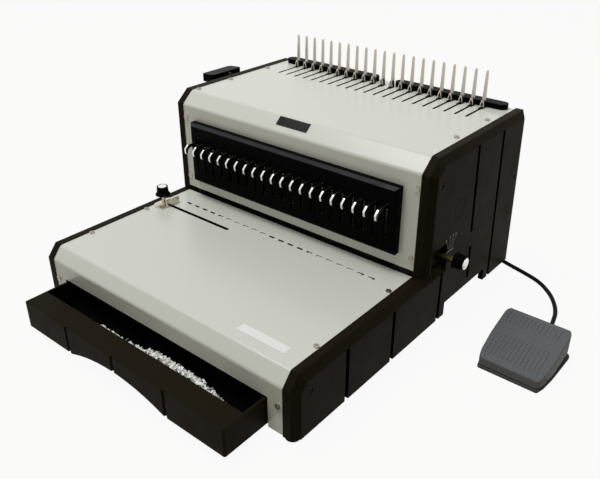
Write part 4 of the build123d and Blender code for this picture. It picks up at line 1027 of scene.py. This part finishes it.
class MACHINE_OT_control_board(bpy.types.Operator):
    """Fit the control board on its stand-offs in the rear pan"""

    bl_idname = "machine.control_board"
    bl_label = "Control board"

    def execute(self, context):
        stand_height, board_thickness = 8.5 * MM, 1.6 * MM
        board_z = REAR_PAN_Z + stand_height
        top = board_z + board_thickness
        board = box_piece("control_board", (-0.060, 0.150, board_z), (0.070, 0.205, top))
        bevelled(board, 0.0003)
        dress(board, printed_ink("board_green", (0.020, 0.110, 0.045)))
        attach(board, "machine")
        middle_z = REAR_PAN_Z + stand_height / 2
        stands = [
            disc_piece("stand", (x, y, middle_z), 2.6 * MM, stand_height, sides=6)
            for x in (-0.055, 0.065) for y in (0.155, 0.200)
        ]
        stands = joined(stands, "board_stands")
        bevelled(stands, 0.0002)
        dress(stands, plated_steel("stand_nickel", (0.70, 0.68, 0.62), 0.3))
        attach(stands, "machine")
        self.fitted(top)
        return {"FINISHED"}

    def fitted(self, top):
        """Transformer, relays, capacitors and sockets on the board."""
        # A corner's x and y, then the width, depth and height of each block
        blocks = {
            "board_core": ((-0.050, 0.160, 0.024, 0.030, 0.026),),
            "board_coil": ((-0.046, 0.157, 0.016, 0.036, 0.020),),
            "board_relays": ((-0.014, 0.160, 0.012, 0.028, 0.016), (0.004, 0.160, 0.012, 0.028, 0.016)),
            "board_sockets": ((-0.012, 0.194, 0.020, 0.008, 0.010), (0.016, 0.194, 0.030, 0.008, 0.010)),
        }
        finishes = {
            "board_core": plated_steel("core_steel", (0.30, 0.30, 0.31), 0.5),
            "board_coil": printed_ink("coil_tape", (0.55, 0.40, 0.06)),
            "board_relays": grained_plastic("relay_plastic", (0.012, 0.030, 0.090), 0.4),
            "board_sockets": grained_plastic("socket_plastic", (0.66, 0.64, 0.56), 0.45),
        }
        for name, boxes in blocks.items():
            group = [
                box_piece("part", (x, y, top), (x + wide, y + deep, top + tall))
                for x, y, wide, deep, tall in boxes
            ]
            group = joined(group, name)
            bevelled(group, 0.0008)
            dress(group, finishes[name])
            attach(group, "machine")
        # The place, radius and height of each capacitor
        cans = []
        for x, y, radius, tall in (
            (0.030, 0.166, 0.0060, 0.022), (0.044, 0.166, 0.0060, 0.022), (0.030, 0.182, 0.0040, 0.012),
            (0.042, 0.182, 0.0040, 0.012), (0.057, 0.176, 0.0050, 0.016),
        ):
            can = disc_piece("can", (x, y, top + tall / 2), radius, tall, sides=28)
            inset_faces(can, lambda place, normal: normal.z > 0.99, rim=0.0008, rise=-0.0003)
            cans.append(can)
        cans = joined(cans, "board_capacitors")
        bevelled(cans, 0.0003)
        dress(cans, grained_plastic("can_sleeve", (0.020, 0.020, 0.028), 0.3, strength=0.05))
        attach(cans, "machine")


class MACHINE_OT_stage(bpy.types.Operator):
    """Set the pale floor, the lamps and the plain background"""

    bl_idname = "machine.stage"
    bl_label = "Stage"

    def execute(self, context):
        scene = context.scene
        scene.view_settings.view_transform = "Standard"
        deselect_all()
        bpy.ops.mesh.primitive_plane_add(size=FLOOR_SIDE, location=(0, 0, FLOOR_Z))
        floor = bpy.context.object
        floor.name = "floor"
        settle(floor)
        dress(floor, self.floor_finish())
        for name, place, size, power in LAMPS:
            self.lamp(name, place, size, power)
        world = bpy.data.worlds.new("studio")
        scene.world = world
        world.use_nodes = True
        self.white_for_camera(world.node_tree)
        return {"FINISHED"}

    def lamp(self, name, place, size, power):
        """Square lamp that points at the machine."""
        light = bpy.data.lights.new(name, "AREA")
        light.shape = "SQUARE"
        light.size = size
        light.energy = power
        light.color = LAMP_COLOUR
        lamp = bpy.data.objects.new(name, light)
        bpy.context.scene.collection.objects.link(lamp)
        lamp.location = place
        lamp.rotation_euler = (LAMP_AIM - Vector(place)).to_track_quat("-Z", "Y").to_euler()

    def seen_directly(self, tree):
        """1 for rays of the camera and for what shines or shows through, 0 for all other light."""
        path = tree.nodes.new("ShaderNodeLightPath")
        value = path.outputs["Is Camera Ray"]
        for name in ("Is Glossy Ray", "Is Transmission Ray"):
            either = tree.nodes.new("ShaderNodeMath")
            either.operation = "MAXIMUM"
            tree.links.new(value, either.inputs[0])
            tree.links.new(path.outputs[name], either.inputs[1])
            value = either.outputs["Value"]
        return value

    def white_for_camera(self, tree):
        """World that is seen as plain white, and lights the rest a little and warmly."""
        tree.nodes.clear()
        output = tree.nodes.new("ShaderNodeOutputWorld")
        mix = tree.nodes.new("ShaderNodeMixShader")
        ambient = tree.nodes.new("ShaderNodeBackground")
        ambient.inputs["Color"].default_value = AMBIENT_COLOUR
        ambient.inputs["Strength"].default_value = AMBIENT_STRENGTH
        white = tree.nodes.new("ShaderNodeBackground")
        white.inputs["Color"].default_value = WHITE
        white.inputs["Strength"].default_value = 1.0
        tree.links.new(self.seen_directly(tree), mix.inputs["Fac"])
        tree.links.new(ambient.outputs["Background"], mix.inputs[1])
        tree.links.new(white.outputs["Background"], mix.inputs[2])
        tree.links.new(mix.outputs["Shader"], output.inputs["Surface"])

    def floor_finish(self):
        """Matt floor that is seen as nearly white, with a faint shadow."""
        material = bpy.data.materials.new("pale_floor")
        material.use_nodes = True
        tree = material.node_tree
        shader = tree.nodes["Principled BSDF"]
        shader.inputs["Base Color"].default_value = FLOOR_COLOUR
        shader.inputs["Roughness"].default_value = 0.9
        shader.inputs["Specular IOR Level"].default_value = 0.1
        output = tree.nodes["Material Output"]
        glow = tree.nodes.new("ShaderNodeEmission")
        glow.inputs["Color"].default_value = WHITE
        share = tree.nodes.new("ShaderNodeMath")
        share.operation = "MULTIPLY"
        share.inputs[1].default_value = FLOOR_GLOW
        mix = tree.nodes.new("ShaderNodeMixShader")
        tree.links.new(self.seen_directly(tree), share.inputs[0])
        tree.links.new(share.outputs["Value"], mix.inputs["Fac"])
        tree.links.new(shader.outputs["BSDF"], mix.inputs[1])
        tree.links.new(glow.outputs["Emission"], mix.inputs[2])
        tree.links.new(mix.outputs["Shader"], output.inputs["Surface"])
        return material


STEPS = (
    MACHINE_OT_camera, MACHINE_OT_cord, MACHINE_OT_covers, MACHINE_OT_mouldings, MACHINE_OT_guide,
    MACHINE_OT_pedal, MACHINE_OT_metalwork, MACHINE_OT_chips, MACHINE_OT_knob_caps,
    MACHINE_OT_cap_screws, MACHINE_OT_plates, MACHINE_OT_gland_ribs, MACHINE_OT_control_board,
    MACHINE_OT_stage,
)


class MACHINE_PT_panel(bpy.types.Panel):
    """Lists the steps that dress the binding machine"""

    bl_idname = "MACHINE_PT_panel"
    bl_label = "Binding machine"
    bl_space_type = "VIEW_3D"
    bl_region_type = "UI"
    bl_category = "Binding machine"

    def draw(self, context):
        settings = look()
        for name in (
            "cover_colour", "cap_colour", "black_colour", "pedal_colour", "edge_round", "chip_count"
        ):
            self.layout.prop(settings, name)
        for step in STEPS:
            self.layout.operator(step.bl_idname)


CLASSES = (MachineLook, *STEPS, MACHINE_PT_panel)


def register():
    for item in CLASSES:
        bpy.utils.register_class(item)
    bpy.types.Scene.machine_look = bpy.props.PointerProperty(type=MachineLook)


def unregister():
    del bpy.types.Scene.machine_look
    for item in reversed(CLASSES):
        bpy.utils.unregister_class(item)


def main():
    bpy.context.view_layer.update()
    register()
    bpy.ops.machine.camera()
    bpy.ops.machine.cord()
    bpy.ops.machine.covers()
    bpy.ops.machine.mouldings()
    bpy.ops.machine.guide()
    bpy.ops.machine.pedal()
    bpy.ops.machine.metalwork()
    bpy.ops.machine.chips()
    bpy.ops.machine.knob_caps()
    bpy.ops.machine.cap_screws()
    bpy.ops.machine.plates()
    bpy.ops.machine.gland_ribs()
    bpy.ops.machine.control_board()
    bpy.ops.machine.stage()
    deselect_all()


if __name__ == "__main__":
    main()
